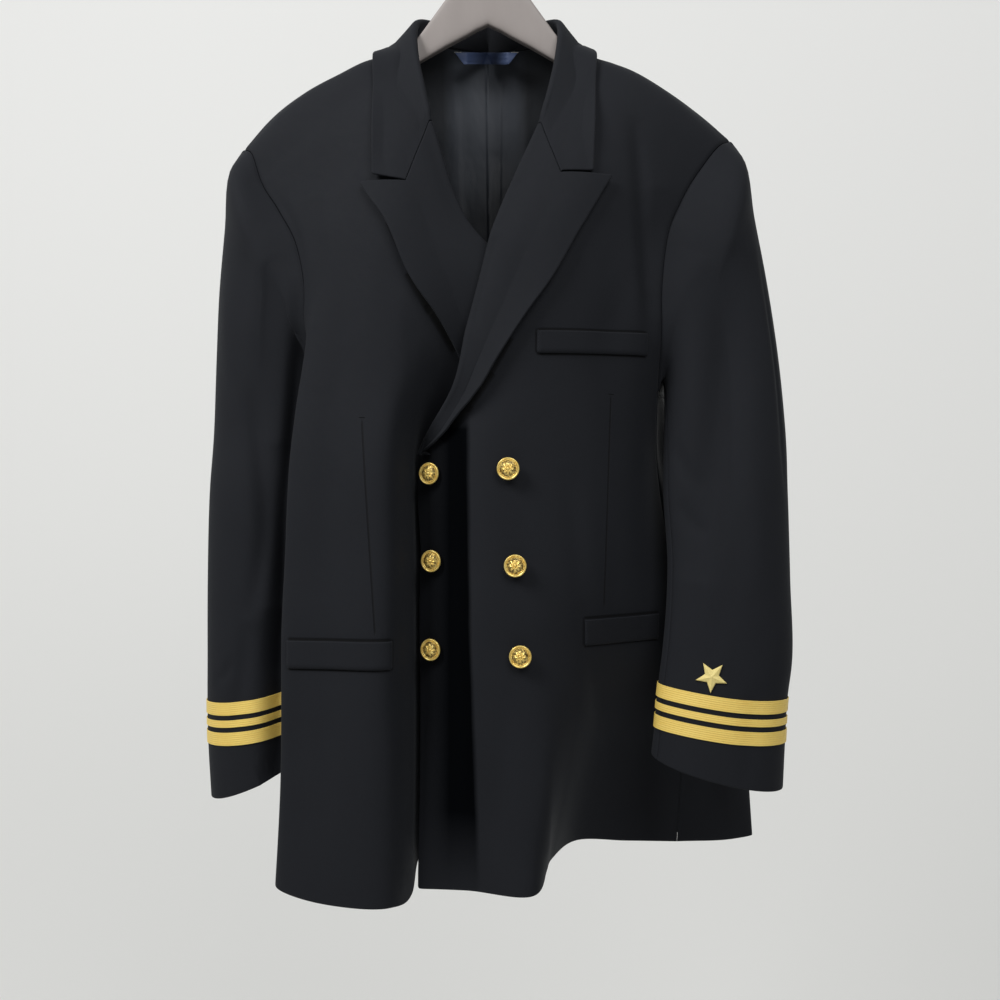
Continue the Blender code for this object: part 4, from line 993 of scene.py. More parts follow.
def armhole(half, kind):
    """The armhole from the shoulder round by the back, down to the armpit and up the front."""
    back = half["back_" + kind][LOW_ROWS - 1:, -1][::-1]
    side = half["side_" + kind][-1][::-1]
    front = half["front_" + kind][LOW_ROWS - 1:, -1]
    return np.concatenate((back, side[1:-1], front[:-1]))


def sleeve_net(half):
    """The sleeve's rings from the armhole to the cuff."""
    first = armhole(half, "grid")
    middle = RING_POINTS // 2
    even = np.linspace(0, 1, middle + 1)
    own = (length_shares(first[:middle + 1]), length_shares(np.concatenate((first[middle:], first[:1]))))
    lower = np.sqrt(np.maximum(0, -np.cos(2 * math.pi * np.arange(RING_POINTS) / RING_POINTS)))
    net = [first]
    for number, numbers in enumerate(half["sleeve_rows"], 1):
        part = min(1, number / HEAD_RINGS)
        shares = [own_share * (1 - part) + even * part for own_share in own]
        loop = ring(numbers, shares, FLATTENED + (1 - FLATTENED) * part)
        follow = (1 - part) * lower[:, None]
        net.append((first + loop[middle] - first[middle]) * follow + loop * (1 - follow))
    net[0] = first + ARMHOLE_GAP * armhole(half, "away")
    return np.array(net)


# The creases in each cloth, seen from the front or from behind. Columns: x and z of the start, the middle and
# the end, the half width, and how far the middle stands out, or sinks where negative. Where one more column
# follows, it is the half width on the side towards the wearer's left.
CREASES = {
    "front": (
        (95, -720, 108, -796, 134, -905, 13, -3.2),
        (80, -585, 88, -660, 98, -735, 12, -1.6),
        (128, -560, 140, -650, 150, -735, 20, 1.6),
        (60, -840, 59, -920, 62, -1005, 11, 1.8),
        (-30, -545, -23, -700, -19, -1000, 26, -11, 4),
        (-230, -288, -198, -343, -184, -412, 5, -1.8),
        (152, -225, 158, -340, 166, -460, 9, -4.5),
        (22, -800, 14, -890, 6, -985, 13, -1.8),
        (-8, -660, -16, -760, -20, -880, 16, 1.2),
        (150, -800, 166, -890, 176, -985, 18, -2.4),
        (120, -470, 134, -420, 150, -380, 14, -1.2),
        (176, -300, 168, -370, 172, -430, 12, -2.2),
        (96, -345, 110, -400, 118, -440, 16, 1.2),
        (120, -170, 150, -230, 168, -300, 22, -1.8),
        (-120, -170, -148, -235, -166, -310, 22, -1.8),
        (-176, -310, -170, -380, -176, -440, 12, -2.0),
        (-100, -330, -118, -420, -126, -530, 18, 1.3),
        (-150, -470, -158, -600, -162, -720, 16, -1.6),
        (-88, -520, -92, -640, -90, -760, 12, 1.0),
        (-96, -790, -100, -890, -94, -1000, 14, -1.6),
        (-150, -800, -146, -900, -150, -1005, 18, 1.8),
        (-190, -780, -186, -880, -180, -990, 12, -1.8),
    ),
    "back": (
        (60, -260, 66, -420, 58, -640, 26, -2.2),
        (-62, -250, -70, -430, -60, -660, 26, -2.2),
        (120, -330, 128, -450, 122, -600, 20, 2.2),
        (-118, -330, -130, -450, -124, -620, 20, 2.0),
        (190, -380, 168, -440, 150, -520, 13, -2.6),
        (-188, -390, -164, -450, -146, -520, 13, -2.6),
        (150, -640, 160, -780, 172, -960, 18, -2.6),
        (90, -700, 100, -830, 104, -985, 20, 2.4),
        (-88, -680, -96, -820, -92, -985, 18, 2.2),
        (-140, -640, -146, -780, -150, -960, 15, -2.4),
        (30, -820, 26, -900, 30, -985, 14, -1.8),
        (-34, -800, -28, -900, -32, -985, 14, -1.8),
        (0, -170, 2, -205, 0, -240, 30, -1.2),
    ),
    "left sleeve front": (
        (260, -360, 240, -500, 206, -700, 24, -9.0, 28),
        (279, -343, 297, -500, 303, -610, 4, -2.0),
        (276, -330, 290, -450, 300, -560, 11, 1.8),
        (262, -560, 270, -640, 268, -720, 15, 1.6),
        (232, -600, 222, -680, 214, -770, 12, 1.8),
        (190, -560, 200, -590, 216, -612, 8, -1.8),
        (192, -620, 204, -642, 222, -655, 8, -1.6),
        (266, -800, 260, -850, 254, -905, 12, -1.4),
    ),
    "left sleeve back": (
        (250, -400, 262, -520, 266, -640, 16, -2.6),
        (216, -560, 232, -600, 250, -622, 10, -2.2),
        (222, -650, 240, -690, 262, -706, 10, 2.0),
        (230, -720, 238, -800, 232, -880, 14, -2.0),
    ),
    "right sleeve front": (
        (-189, -395, -201, -567, -212, -830, 9, -9.0),
        (-214, -730, -212, -820, -210, -960, 17, -15.0),
        (-243, -500, -230, -660, -242, -740, 10, -6.0),
        (-246, -745, -252, -800, -258, -860, 9, -2.6),
        (-216, -560, -212, -680, -216, -800, 13, -9.0),
        (-274, -380, -268, -470, -258, -540, 13, 1.8),
        (-262, -780, -272, -800, -284, -806, 6, -1.4),
        (-240, -330, -248, -380, -252, -440, 12, -1.8),
    ),
    "right sleeve back": (
        (-240, -400, -250, -520, -246, -650, 15, -2.6),
        (-210, -600, -228, -640, -248, -655, 9, -2.2),
        (-214, -700, -232, -728, -256, -744, 9, 2.0),
        (-222, -760, -216, -830, -222, -900, 12, -2.0),
    ),
}
# The steps along a crease's line, and how it fades to its ends: 1 fades evenly, and less stays fuller.
CREASE_STEPS = 13
CREASE_FADE = 0.7


def crease_line(cover, way, places):
    """Points on the cloth along a crease, seen from the front (-1) or from behind (1)."""
    path = []
    for x, z in curve(places, np.linspace(0, 1, CREASE_STEPS)):
        place = cover.ray_cast(Vector((x, FAR * way, z)), Vector((0, -way, 0)))[0]
        if place is None:
            place = cover.find_nearest(Vector((x, FOLD_OUT * way, z)))[0]
        path.append(np.array(place))
    return path


def creased(grid, out, covers, kinds):
    """The grid with the creases of its kinds set into it."""
    moved = np.zeros(grid.shape[:2])
    creases = [(kind, *numbers) for kind in kinds for numbers in CREASES[kind]]
    for kind, x0, z0, x1, z1, x2, z2, width, depth, *other in creases:
        way = -1 if kind.endswith("front") else 1
        path = crease_line(covers[kind], way, [(x0, z0), (x1, z1), (x2, z2)])
        best = np.full(grid.shape[:2], np.inf)
        along = np.zeros(grid.shape[:2])
        beyond = np.zeros(grid.shape[:2], bool)
        for k in range(len(path) - 1):
            step = path[k + 1] - path[k]
            if step.dot(step) < 0.01:
                continue
            t = np.clip(((grid - path[k]) @ step) / step.dot(step), 0, 1)
            away = np.linalg.norm(grid - path[k] - t[..., None] * step, axis=2)
            nearer = away < best
            best = np.where(nearer, away, best)
            along = np.where(nearer, (k + t) / (len(path) - 1), along)
            beyond = np.where(nearer, grid[..., 0] > (path[k] + t[..., None] * step)[..., 0], beyond)
        fade = np.sin(np.pi * np.clip(along, 0, 1))**CREASE_FADE
        reach_out = np.where(beyond, other[0] if other else width, width)
        moved += depth * np.exp(-(best / reach_out)**2) * fade
    return grid + moved[..., None] * out


def between_lines(grid, places, axis):
    """The grid at places counted in its own lines."""
    below = np.minimum(np.floor(places).astype(int), grid.shape[axis] - 2)
    shape = [1, 1, 1]
    shape[axis] = len(places)
    part = (places - below).reshape(shape)
    return np.take(grid, below, axis=axis) * (1 - part) + np.take(grid, below + 1, axis=axis) * part


def finer(grid, axis, times):
    """The grid with more lines between its lines."""
    steps = grid.shape[axis] - 1
    return between_lines(grid, np.linspace(0, steps, steps * times + 1), axis)


# How far from an edge its extra lines lie, each only where it is nearer than this share of the next line.
EDGE_LINES = (0.25, 0.7, 1.4, 2.6)
EDGE_SHARE = 0.8


def crowd(grids, axis):
    """The grids with more lines close to both edges, for their rounding."""
    last = grids[0].shape[axis] - 1
    places = list(range(last + 1))
    for pair, start, sign in (([0, 1], 0, 1), ([last - 1, last], last, -1)):
        lines = np.take(grids[0], pair, axis=axis)
        spacing = np.linalg.norm(np.diff(lines, axis=axis), axis=2).mean()
        near = [distance for distance in EDGE_LINES if distance < EDGE_SHARE * spacing]
        places += [start + sign * distance / spacing for distance in near]
    return [between_lines(grid, np.array(sorted(places)), axis) for grid in grids]


def reach(grid, axis):
    """How far each point lies from the two edges along one direction."""
    steps = np.linalg.norm(np.diff(grid, axis=axis), axis=2)
    run = np.cumsum(steps, axis=axis)
    start = np.zeros_like(np.take(run, [0], axis=axis))
    run = np.concatenate((start, run), axis=axis)
    return run, np.take(run, [-1], axis=axis) - run


# How deep the cloth sinks at a seam, over what distance, and the deepest share of its wall. A free edge is
# round over this many half walls.
SEAM_DIP = 0.9
SEAM_SOFT = 1.5
DEEPEST = 0.8
EDGE_ROUND = 1.1


def fullness(away, half):
    """How full a wall is at a distance from its rounded edge, from 0 on the edge to 1."""
    near = 1 - np.clip(away / (half * EDGE_ROUND), 0, 1)
    return np.sqrt(np.maximum(0, 1 - near**2))


def rounded_corner(grid, aside, away, radius):
    """The grid with one corner drawn in to a curve, and how far each point then lies inside the curve."""
    over_side, over_end = radius - aside, radius - away
    length = np.hypot(over_side, over_end)
    inside = (over_side > 0) & (over_end > 0)
    share_kept = np.where(inside & (length > radius), radius / np.maximum(length, 1e-6), 1)
    to_side = (1 - share_kept) * over_side
    to_end = (1 - share_kept) * over_end
    in_from_side = unit(np.gradient(grid, axis=1)) * np.sign(np.gradient(aside, axis=1))[..., None]
    in_from_end = unit(np.gradient(grid, axis=0)) * np.sign(np.gradient(away, axis=0))[..., None]
    grid = grid + to_side[..., None] * in_from_side + to_end[..., None] * in_from_end
    return grid, np.where(inside, np.maximum(0, radius - length), 1e3)


def wall(name, grid, out, thick, look, left="seam", right="seam", low="seam", high="seam", wrap=False,
         corners=0):
    """A cloth wall inside a grid of outer points: its free edges are rounded, and it sinks at its seams."""
    grid, out = crowd([grid, out], 0)
    if wrap:
        grid, out = closed(grid), closed(out)
    else:
        grid, out = crowd([grid, out], 1)
    out = unit(out)
    from_left, from_right = reach(grid, 1)
    from_low, from_high = reach(grid, 0)
    half = thick / 2
    full = np.ones(grid.shape[:2])
    dip = np.zeros(grid.shape[:2])
    if corners:
        for side, aside in ((left, from_left), (right, from_right)):
            for end, away in ((low, from_low), (high, from_high)):
                if side == end == "free":
                    grid, within = rounded_corner(grid, aside, away, corners)
                    full = np.minimum(full, fullness(within, half))
    for kind, away in ((left, from_left), (right, from_right), (low, from_low), (high, from_high)):
        if kind == "free":
            full = np.minimum(full, fullness(away, half))
        elif kind == "seam":
            dip += SEAM_DIP * np.exp(-(away / SEAM_SOFT)**2)
    for kind, away in ((low, from_low), (high, from_high)):
        if kind == "free":
            dip *= 1 - np.exp(-(away / SEAM_SOFT)**2)
    middle = grid - half * out
    upper = middle + (half * full - np.minimum(dip, DEEPEST * thick))[..., None] * out
    lower = middle - (half * full)[..., None] * out
    rows, columns = grid.shape[:2]
    count = rows * columns
    points = np.concatenate((upper.reshape(-1, 3), lower.reshape(-1, 3))) * MM
    index = np.arange(count).reshape(rows, columns)
    quads = np.stack((index[:-1, :-1], index[:-1, 1:], index[1:, 1:], index[1:, :-1]), axis=-1)
    quads = quads.reshape(-1, 4)
    faces = [quads, quads[:, ::-1] + count]
    edges = [index[0][::-1], index[-1]]
    if not wrap:
        edges += [index[:, 0], index[::-1, -1]]
    for line in edges:
        a, b = line[:-1], line[1:]
        faces.append(np.stack((a, b, b + count, a + count), axis=-1))
    cloth_piece(name, points, np.concatenate(faces), look, from_left.reshape(-1), from_low.reshape(-1))


def mesh_of(name, points, faces, u=(), v=()):
    """A mesh from points in metres and its faces, with its own two directions in millimetres as UV."""
    mesh = bpy.data.meshes.new(name)
    mesh.from_pydata(points.tolist(), [], faces)
    if len(u):
        layer = mesh.uv_layers.new(name="cloth")
        of_corner = np.empty(len(mesh.loops), np.int32)
        mesh.loops.foreach_get("vertex_index", of_corner)
        both = np.stack((u, v), axis=-1) * MM
        layer.data.foreach_set("uv", both[of_corner].astype(np.float32).reshape(-1))
    return mesh


# Points nearer than this are one point, and shorter edges are dropped. Metres.
ONE_POINT = 0.00002
NO_EDGE = 0.00001


def cloth_piece(name, points, faces, look, u, v):
    """A wall's piece. The points of its outer face come first, then those of its inner one, in metres."""
    corners = points[faces[:, :3]]
    volume = np.einsum("ij,ij->i", corners[:, 0], np.cross(corners[:, 1], corners[:, 2])).sum()
    if volume < 0:
        faces = faces[:, ::-1]
    mesh = mesh_of(name, points, faces.tolist(), np.tile(u, 2), np.tile(v, 2))
    made = bmesh.new()
    made.from_mesh(mesh)
    bmesh.ops.remove_doubles(made, verts=made.verts, dist=ONE_POINT)
    bmesh.ops.dissolve_degenerate(made, dist=NO_EDGE, edges=made.edges)
    made.to_mesh(mesh)
    made.free()
    piece(name, mesh, look, name)


def ring_faces(rings, around):
    """The faces between rings of points, each turned on to the next."""
    index = np.arange(rings * around).reshape(rings, around)
    turned_on = np.roll(index, -1, axis=1)
    quads = np.stack((index[:-1], turned_on[:-1], turned_on[1:], index[1:]), axis=-1)
    return index, quads.reshape(-1, 4)


def ringed(name, rings, look, u=(), v=()):
    """A closed piece from rings of points in millimetres."""
    index, quads = ring_faces(len(rings), rings.shape[1])
    faces = quads.tolist() + [index[0][::-1].tolist(), index[-1].tolist()]
    mesh = mesh_of(name, rings.reshape(-1, 3) * MM, faces, u, v)
    made = bmesh.new()
    made.from_mesh(mesh)
    bmesh.ops.recalc_face_normals(made, faces=made.faces)
    if made.calc_volume(signed=True) < 0:
        bmesh.ops.reverse_faces(made, faces=made.faces)
    made.to_mesh(mesh)
    made.free()
    piece(name, mesh, look, name)


# The sewing that shows, by its kind: lines of points, with True for a closed line.
STITCHING = {"lace": [], "cloth": [], "tack": [], "beads": []}

# Faces that meet at more than this many degrees keep a sharp edge.
SHARP_ANGLE = 50


def added(name, data):
    """A new object in the scene."""
    made = bpy.data.objects.new(name, data)
    bpy.context.scene.collection.objects.link(made)
    return made


def piece(name, mesh, look, node=None):
    """A finished piece of the jacket, riding with it and standing for its node."""
    mesh.materials.clear()
    mesh.materials.append(LOOKS[look])
    mesh.shade_smooth()
    mesh.set_sharp_from_angle(angle=math.radians(SHARP_ANGLE))
    made = added(name, mesh)
    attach(made, "root")
    if node:
        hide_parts(node)


# How round the corners of the fronts, the lapels, the collar and the welts are.
FRONT_CORNER = 3
LAPEL_CORNER = 3.5
COLLAR_CORNER = 2
WELT_CORNER = 1.2


def make_body(half):
    """One half's front, side and back panels."""
    for panel, inner in (("front", "free"), ("side", "seam"), ("back", "seam")):
        outer = draw_in(half[panel + "_grid"], left=inner == "seam", high=True)
        name = panel + "_" + half["name"]
        look = name if panel == "front" else "wool"
        wall(name, outer, half[panel + "_out"], CLOTH, look, left=inner, low="free", corners=FRONT_CORNER)


# How far the middle line of a lapel stands off the front.
LAPEL_MIDDLE = 2.2


def leaf_line(start, middle, edge):
    """Points from a turned edge over a middle line to the free edge."""
    near = start + (middle - start) * np.linspace(0, 1, GORGE_STEPS + 1)[1:, None]
    far = middle + (edge - middle) * np.linspace(0, 1, REVERS_STEPS + 1)[1:, None]
    return np.concatenate((near, far))


def make_lapel(half):
    """The lapel: a half turn off the front's edge, then a leaf lying over the front."""
    low, high = SKIRT_ROWS, SKIRT_ROWS + ARM_ROWS + CHEST_ROWS + 1
    edges = half["front_grid"][low:high, 0]
    away, outward = edge_frame(half["front_grid"][low:high], half["front_out"][low:high])
    table = np.array(half["lapel_rows"], float)
    knots = (table[:, 1] - table[0, 1]) / (table[-1, 1] - table[0, 1])
    places = (edges[:, 2] - edges[0, 2]) / (edges[-1, 2] - edges[0, 2])
    table = spline_weights(knots, places) @ table
    cover = half["front_skin"]
    leaf = []
    for r, numbers in enumerate(table):
        start = edges[r] + away[r] * 2 * SEAM
        bend = turn(start + away[r] * LEAD, away[r], outward[r], ROLL, TURN_STEPS)
        middle = seen_on(cover, numbers[2], numbers[3])[0]
        edge = seen_on(cover, numbers[4], numbers[5])[0]
        line = leaf_line(bend[-1], middle, edge)
        heights = np.concatenate((np.linspace(2 * ROLL, LAPEL_MIDDLE, GORGE_STEPS + 1)[1:],
                                  np.linspace(LAPEL_MIDDLE, numbers[6], REVERS_STEPS + 1)[1:]))
        leaf.append(np.concatenate(([start], bend, lying_on(cover, line, heights))))
    under = np.array(leaf)
    half["lapel_under"] = under
    half["lapel_out"] = facing(under, half["sign"])
    outer = under + LAPEL * half["lapel_out"]
    wall("lapel_" + half["name"], outer, half["lapel_out"], LAPEL, "wool", left="plain", right="free",
         low="free", high="free", corners=LAPEL_CORNER)


# How far from the gorge the collar is drawn into line with a lapel.
GORGE_EASE = 14
# The collar's fall stands this far off the cloth, and further by the second number near the shoulder. Then
# come the shoulder's place along the neck, and how far along it the extra reaches.
FALL_OFF = 2.0
FALL_MORE = 3.0
FALL_PLACE = 1.1
FALL_REACH = 0.25


def collar_half(half):
    """Half the neck's seam, with the collar's lines beside it, from the gorge to the centre back."""
    first = SKIRT_ROWS + ARM_ROWS + CHEST_ROWS
    fore = half["front_grid"][first:, 0]
    away = edge_frame(half["front_grid"][first:], half["front_out"][first:])[0]
    rear = half["back_grid"][-1, :NECK_COLUMNS][::-1]
    table = np.array(half["collar_rows"], float)
    out = []
    for point, off, place in zip(fore, away, length_shares(fore)):
        turned = np.array((0, 0, 2.0)) * min(1, place * 4)
        out.append((point, unit(off + turned), place))
    for k, point in enumerate(rear, 1):
        out.append((point, np.array((0, 0, 1.0)), 1 + k / len(rear)))
    return [(point, off, spline_weights(table[:, 0], [place])[0] @ table) for point, off, place in out]


def near_gorge(rows, r, end, ease):
    """How near one of the collar's rows lies to its end, from 0 to 1."""
    away = np.linalg.norm(rows[r][2][1:4] - rows[end][2][1:4])
    return max(0.0, 1 - away / ease)


def make_collar():
    """The collar: a stand rising from the neck's seam, a turn, and a fall over the outside."""
    rows = collar_half(RIGHT) + collar_half(LEFT)[-2::-1]
    along = unit(np.gradient(np.array([row[2][1:4] for row in rows]), axis=0))
    cover = body_skin()
    joined = TURN_STEPS + 1 + GORGE_STEPS
    steps = np.arange(STAND_STEPS)[:, None] / STAND_STEPS
    under = []
    for r, (base, off, numbers) in enumerate(rows):
        place, crest, middle, edge = numbers[0], numbers[1:4], numbers[4:7], numbers[7:10]
        start = base + off * SEAM
        up = crest - start
        up = unit(up - along[r] * up.dot(along[r]))
        outward = np.cross(along[r], up)
        if outward.dot(edge - crest) < 0:
            outward = -outward
        foot = crest - up * (ROLL + LAPEL) - outward * ROLL
        bend = np.array(turn(foot, up, outward, ROLL, TURN_STEPS))
        gap = FALL_OFF + FALL_MORE * math.exp(-((place - FALL_PLACE) / FALL_REACH)**2)
        turned = np.concatenate((bend, kept_off(cover, leaf_line(bend[-1], middle, edge), gap)))
        under.append(np.concatenate((start + (turned[0] - start) * steps, turned)))
    under = np.array(under)
    both_ends = ((range(len(rows)), RIGHT), (range(len(rows) - 1, -1, -1), LEFT))
    for ends, half in both_ends:
        lapel = half["lapel_under"]
        moved = lapel[-1] + SEAM * unit(lapel[-1] - lapel[-2])
        last = under[ends[0]]
        wanted = last.copy()
        wanted[STAND_STEPS:STAND_STEPS + joined] = moved[1:1 + joined]
        wanted[:STAND_STEPS] = moved[0] + (moved[1] - moved[0]) * steps
        shift = wanted - last
        for r in ends:
            part = near_gorge(rows, r, ends[0], GORGE_EASE)
            under[r] += shift * part * part * (3 - 2 * part)
    out = facing(under, 1)
    if out[len(out) // 2, 0, 1] > 0:
        out = -out
    for ends, half in both_ends:
        line = np.concatenate((np.repeat(half["lapel_out"][-1, :1], STAND_STEPS, axis=0),
                               half["lapel_out"][-1, 1:1 + joined]))
        for r in ends:
            part = near_gorge(rows, r, ends[0], GORGE_EASE / 2)
            out[r, :STAND_STEPS + joined] = unit(out[r, :STAND_STEPS + joined] * (1 - part) + line * part)
    wall("collar", under + LAPEL * out, out, LAPEL, "wool", left="plain", right="free", low="free",
         high="free", corners=COLLAR_CORNER)


def make_sleeve(half):
    """The sleeve's two pieces, joined along the fore-arm and the hind-arm."""
    name = half["name"]
    net = sleeve_net(half)
    lengths = np.linalg.norm(np.diff(net, axis=0), axis=2).mean(axis=1)
    knots = np.concatenate(([0], np.cumsum(lengths))) / lengths.sum()
    head = stretches(knots[:SLEEVE_HEAD_ROWS + 1], [HEAD_FINE] * SLEEVE_HEAD_ROWS)
    places = np.concatenate((head, np.linspace(knots[SLEEVE_HEAD_ROWS], 1, ARM_FINE + 1)[1:]))
    grid = np.einsum("vr,rcx->vcx", spline_weights(knots, places), net)
    out = sleeve_out(half, grid)
    cover = skin((closed(grid), -half["sign"]))
    kinds = (name + " sleeve front", name + " sleeve back")
    grid = creased(grid, out, dict.fromkeys(kinds, cover), kinds)
    out = sleeve_out(half, grid)
    half["sleeve_grid"], half["sleeve_out"] = grid, out
    half["sleeve_skin"] = skin((closed(grid), -half["sign"]))
    top = [k % RING_POINTS for k in range(FORE_SEAM, RING_POINTS + HIND_SEAM + 1)]
    under = list(range(HIND_SEAM, FORE_SEAM + 1))
    for part, columns in (("top", top), ("under", under)):
        outer = draw_in(grid[:, columns])
        wall("sleeve_" + part + "_" + name, outer, out[:, columns], CLOTH, "wool", high="free")


# How far down the sleeve its directions turn from the body's to its own.
HEAD_TURN = 5


def sleeve_out(half, grid):
    """The sleeve's outward directions, turning into the body's at the armhole."""
    out = facing(grid, -half["sign"], wrap=True)
    away = np.linalg.norm(grid - grid[:1], axis=2)
    part = np.clip(1 - away / HEAD_TURN, 0, 1)[..., None]
    return unit(out * (1 - part) + armhole(half, "out") * part)


def sleeve_place(half, column, z):
    """The point of a sleeve's column at a height."""
    line = half["sleeve_grid"][SLEEVE_HEAD_ROWS * HEAD_FINE:, column]
    return np.array([np.interp(-z, -line[:, 2], line[:, k]) for k in range(3)])


def lace_line(name, k):
    """The height of the lace's upper edge at one of the sleeve's columns."""
    z_in, z_out, dip = LACE_TOP[name]
    angle = 2 * math.pi * k / RING_POINTS
    return z_out + (z_in - z_out) * (0.5 - 0.5 * math.cos(angle)) + dip * math.sin(angle)


# The stitches run along the lace this far in from its edges.
LACE_STITCH = 0.9


def make_lace(half):
    """Bands of lace round the cuff, made from the sleeve's own points and moved out."""
    name = half["name"]
    for number, (below, width) in enumerate(LACE_BANDS, 1):
        rows = []
        for offset in np.linspace(-width / 2, width / 2, 7):
            heights = [lace_line(name, k) - below - offset for k in range(RING_POINTS)]
            rows.append([sleeve_place(half, k, height) for k, height in enumerate(heights)])
        band = np.array(rows)
        out = facing(band, -half["sign"], wrap=True)
        wall(f"lace_{name}_{number}", band + (LIFT + LACE) * out, out, LACE, "lace", low="free", high="free",
             wrap=True)
        for edge in (0, -1):
            inner = band[edge] + (LIFT + LACE * 0.75) * out[edge]
            middle = band[3] - band[edge]
            line = inner + middle * min(1, LACE_STITCH / np.linalg.norm(middle, axis=1).mean())
            STITCHING["lace"].append((line, True))


# A welt lies this far off its front where it is sewn, and rises over this distance from the sewing. Its
# stitches stand off its face by the lift.
WELT_SEWN = 0.2
WELT_EASE = 2.5
WELT_ROWS = 12
WELT_COLUMNS = 72
STITCH_LIFT = 0.02


def make_welt(name, side, x0, z0, x1, z1, depth, lift):
    """A pocket welt sewn down along its ends and lower edge, its upper edge standing off a little."""
    half = LEFT if side == "left" else RIGHT
    rows = []
    across = np.linspace(0, 1, WELT_COLUMNS + 1)
    for up in np.linspace(0, 1, WELT_ROWS + 1):
        line = []
        for s in across:
            x, z = x0 + (x1 - x0) * s, z0 + (z1 - z0) * s - depth * (1 - up)
            place, normal = seen_on(half["front_skin"], x, z)
            near = min(s, 1 - s) * abs(x1 - x0)
            free = min(1, min(near, up * depth) / WELT_EASE)
            height = WELT_SEWN + (lift - WELT_SEWN) * free * free * (3 - 2 * free)
            line.append(place + normal * height)
        rows.append(line)
    under = np.array(rows)
    out = facing(under, 1)
    wall(name, under + WELT_WALL * out, out, WELT_WALL, "wool", left="free", right="free", low="free",
         high="free", corners=WELT_CORNER)
    face = under + (WELT_WALL + STITCH_LIFT) * out
    for column in (1, -2):
        STITCHING["cloth"].append((face[:, column], False))


# A button's face, from the middle out. Columns: radius and height over the foot of the shank.
BUTTON_FACE = (
    (0, 9.0), (2.5, 8.9), (5.0, 8.55), (7.2, 8.0), (8.6, 7.55), (9.1, 7.45), (9.5, 7.75), (10.1, 8.05),
    (10.7, 7.9), (11.05, 7.3), (11.1, 6.6), (10.8, 5.7), (9.6, 5.25), (5.0, 5.0), (2.3, 4.8), (2.0, 4.2),
    (2.0, 0.1),
)
SHANK_RADIUS = 2.0
BUTTON_ROUND = 72
# The rosette lies within this radius and above this height, on a ground sunk by this much between two radii.
ROSETTE_RADIUS = 8.4
ROSETTE_HEIGHT = 7.5
ROSETTE_SUNK = 0.35
BOSS_GROUND = 1.7
RIM_GROUND = 8.0
# The height of the groove inside the rim, and the radius and height of the ring of beads in it.
RIM_GROOVE = 7.45
BEAD_RADIUS = 8.55
BEAD_HEIGHT = 7.75


def rosette(radius, angle):
    """The height of the plain relief inside the button's rim: eight petals round a boss."""
    petal = abs(math.cos(4 * angle))
    reach = 2.6 + 3.6 * petal**0.8
    past_boss = min(1.0, max(0.0, (radius - BOSS_GROUND) / 0.5))
    inside = max(0.0, min(1.0, (reach - radius) / 0.9)) * past_boss
    groove = 1 - 0.55 * math.exp(-((petal - 1) / 0.06)**2)
    boss = math.sqrt(max(0.0, 1 - (radius / 1.5)**2))
    sunk = ROSETTE_SUNK if BOSS_GROUND < radius < RIM_GROUND else 0
    return 0.75 * inside * groove + 0.8 * boss - sunk


def turned_from_front(degrees):
    """The outward and the sideways direction of a piece that faces round from the front, towards -X."""
    angle = math.radians(degrees)
    outward = np.array((-math.sin(angle), -math.cos(angle), 0.0))
    return outward, np.array((math.cos(angle), -math.sin(angle), 0.0))


def make_button(name, x, z, turned):
    """A gilt button on its shank: a domed face with a raised rim, a ring of beads and a plain rosette."""
    place, normal = seen_on(LEFT["front_skin"], x, z)
    axis, side = turned_from_front(turned)
    leaning = math.sqrt(max(0, 1 - axis.dot(normal)**2))
    foot = place + axis * (LIFT + SHANK_RADIUS * leaning)
    top = np.array((0, 0, 1.0))
    lengths = length_shares(np.array(BUTTON_FACE, float))
    line = curve(BUTTON_FACE, np.concatenate((np.linspace(0, 0.5, 46), np.linspace(0.5, 1, 30)[1:])), lengths)
    rows, reliefs, radii = [], [], []
    for radius, height in line:
        row = []
        for k in range(BUTTON_ROUND):
            a = 2 * math.pi * k / BUTTON_ROUND
            spoke = side * math.cos(a) + top * math.sin(a)
            inside = height > ROSETTE_HEIGHT and radius < ROSETTE_RADIUS
            relief = rosette(radius, a) if inside else 0
            row.append(foot + axis * (height + relief) + max(radius, 0.02) * spoke)
            reliefs.append(relief + ROSETTE_SUNK if inside else max(0, height - RIM_GROOVE) * 2)
            radii.append(radius)
        rows.append(row)
    # The radii and reliefs go to the face's UV, where the gilt material paints shade in the recesses.
    ringed(name, np.array(rows), "gilt", radii, reliefs)
    around = np.linspace(0, 2 * math.pi, 60)[:-1, None]
    ring_line = foot + axis * BEAD_HEIGHT + BEAD_RADIUS * (side * np.cos(around) + top * np.sin(around))
    STITCHING["beads"].append((ring_line, True))


# A star's rings, as shares of the way out, and the columns on each of the ten slopes between point and notch.
STAR_PARTS = (0.0, 0.08, 0.2, 0.35, 0.5, 0.65, 0.78, 0.88, 0.94, 0.975, 1.0)
STAR_COLUMNS = 6


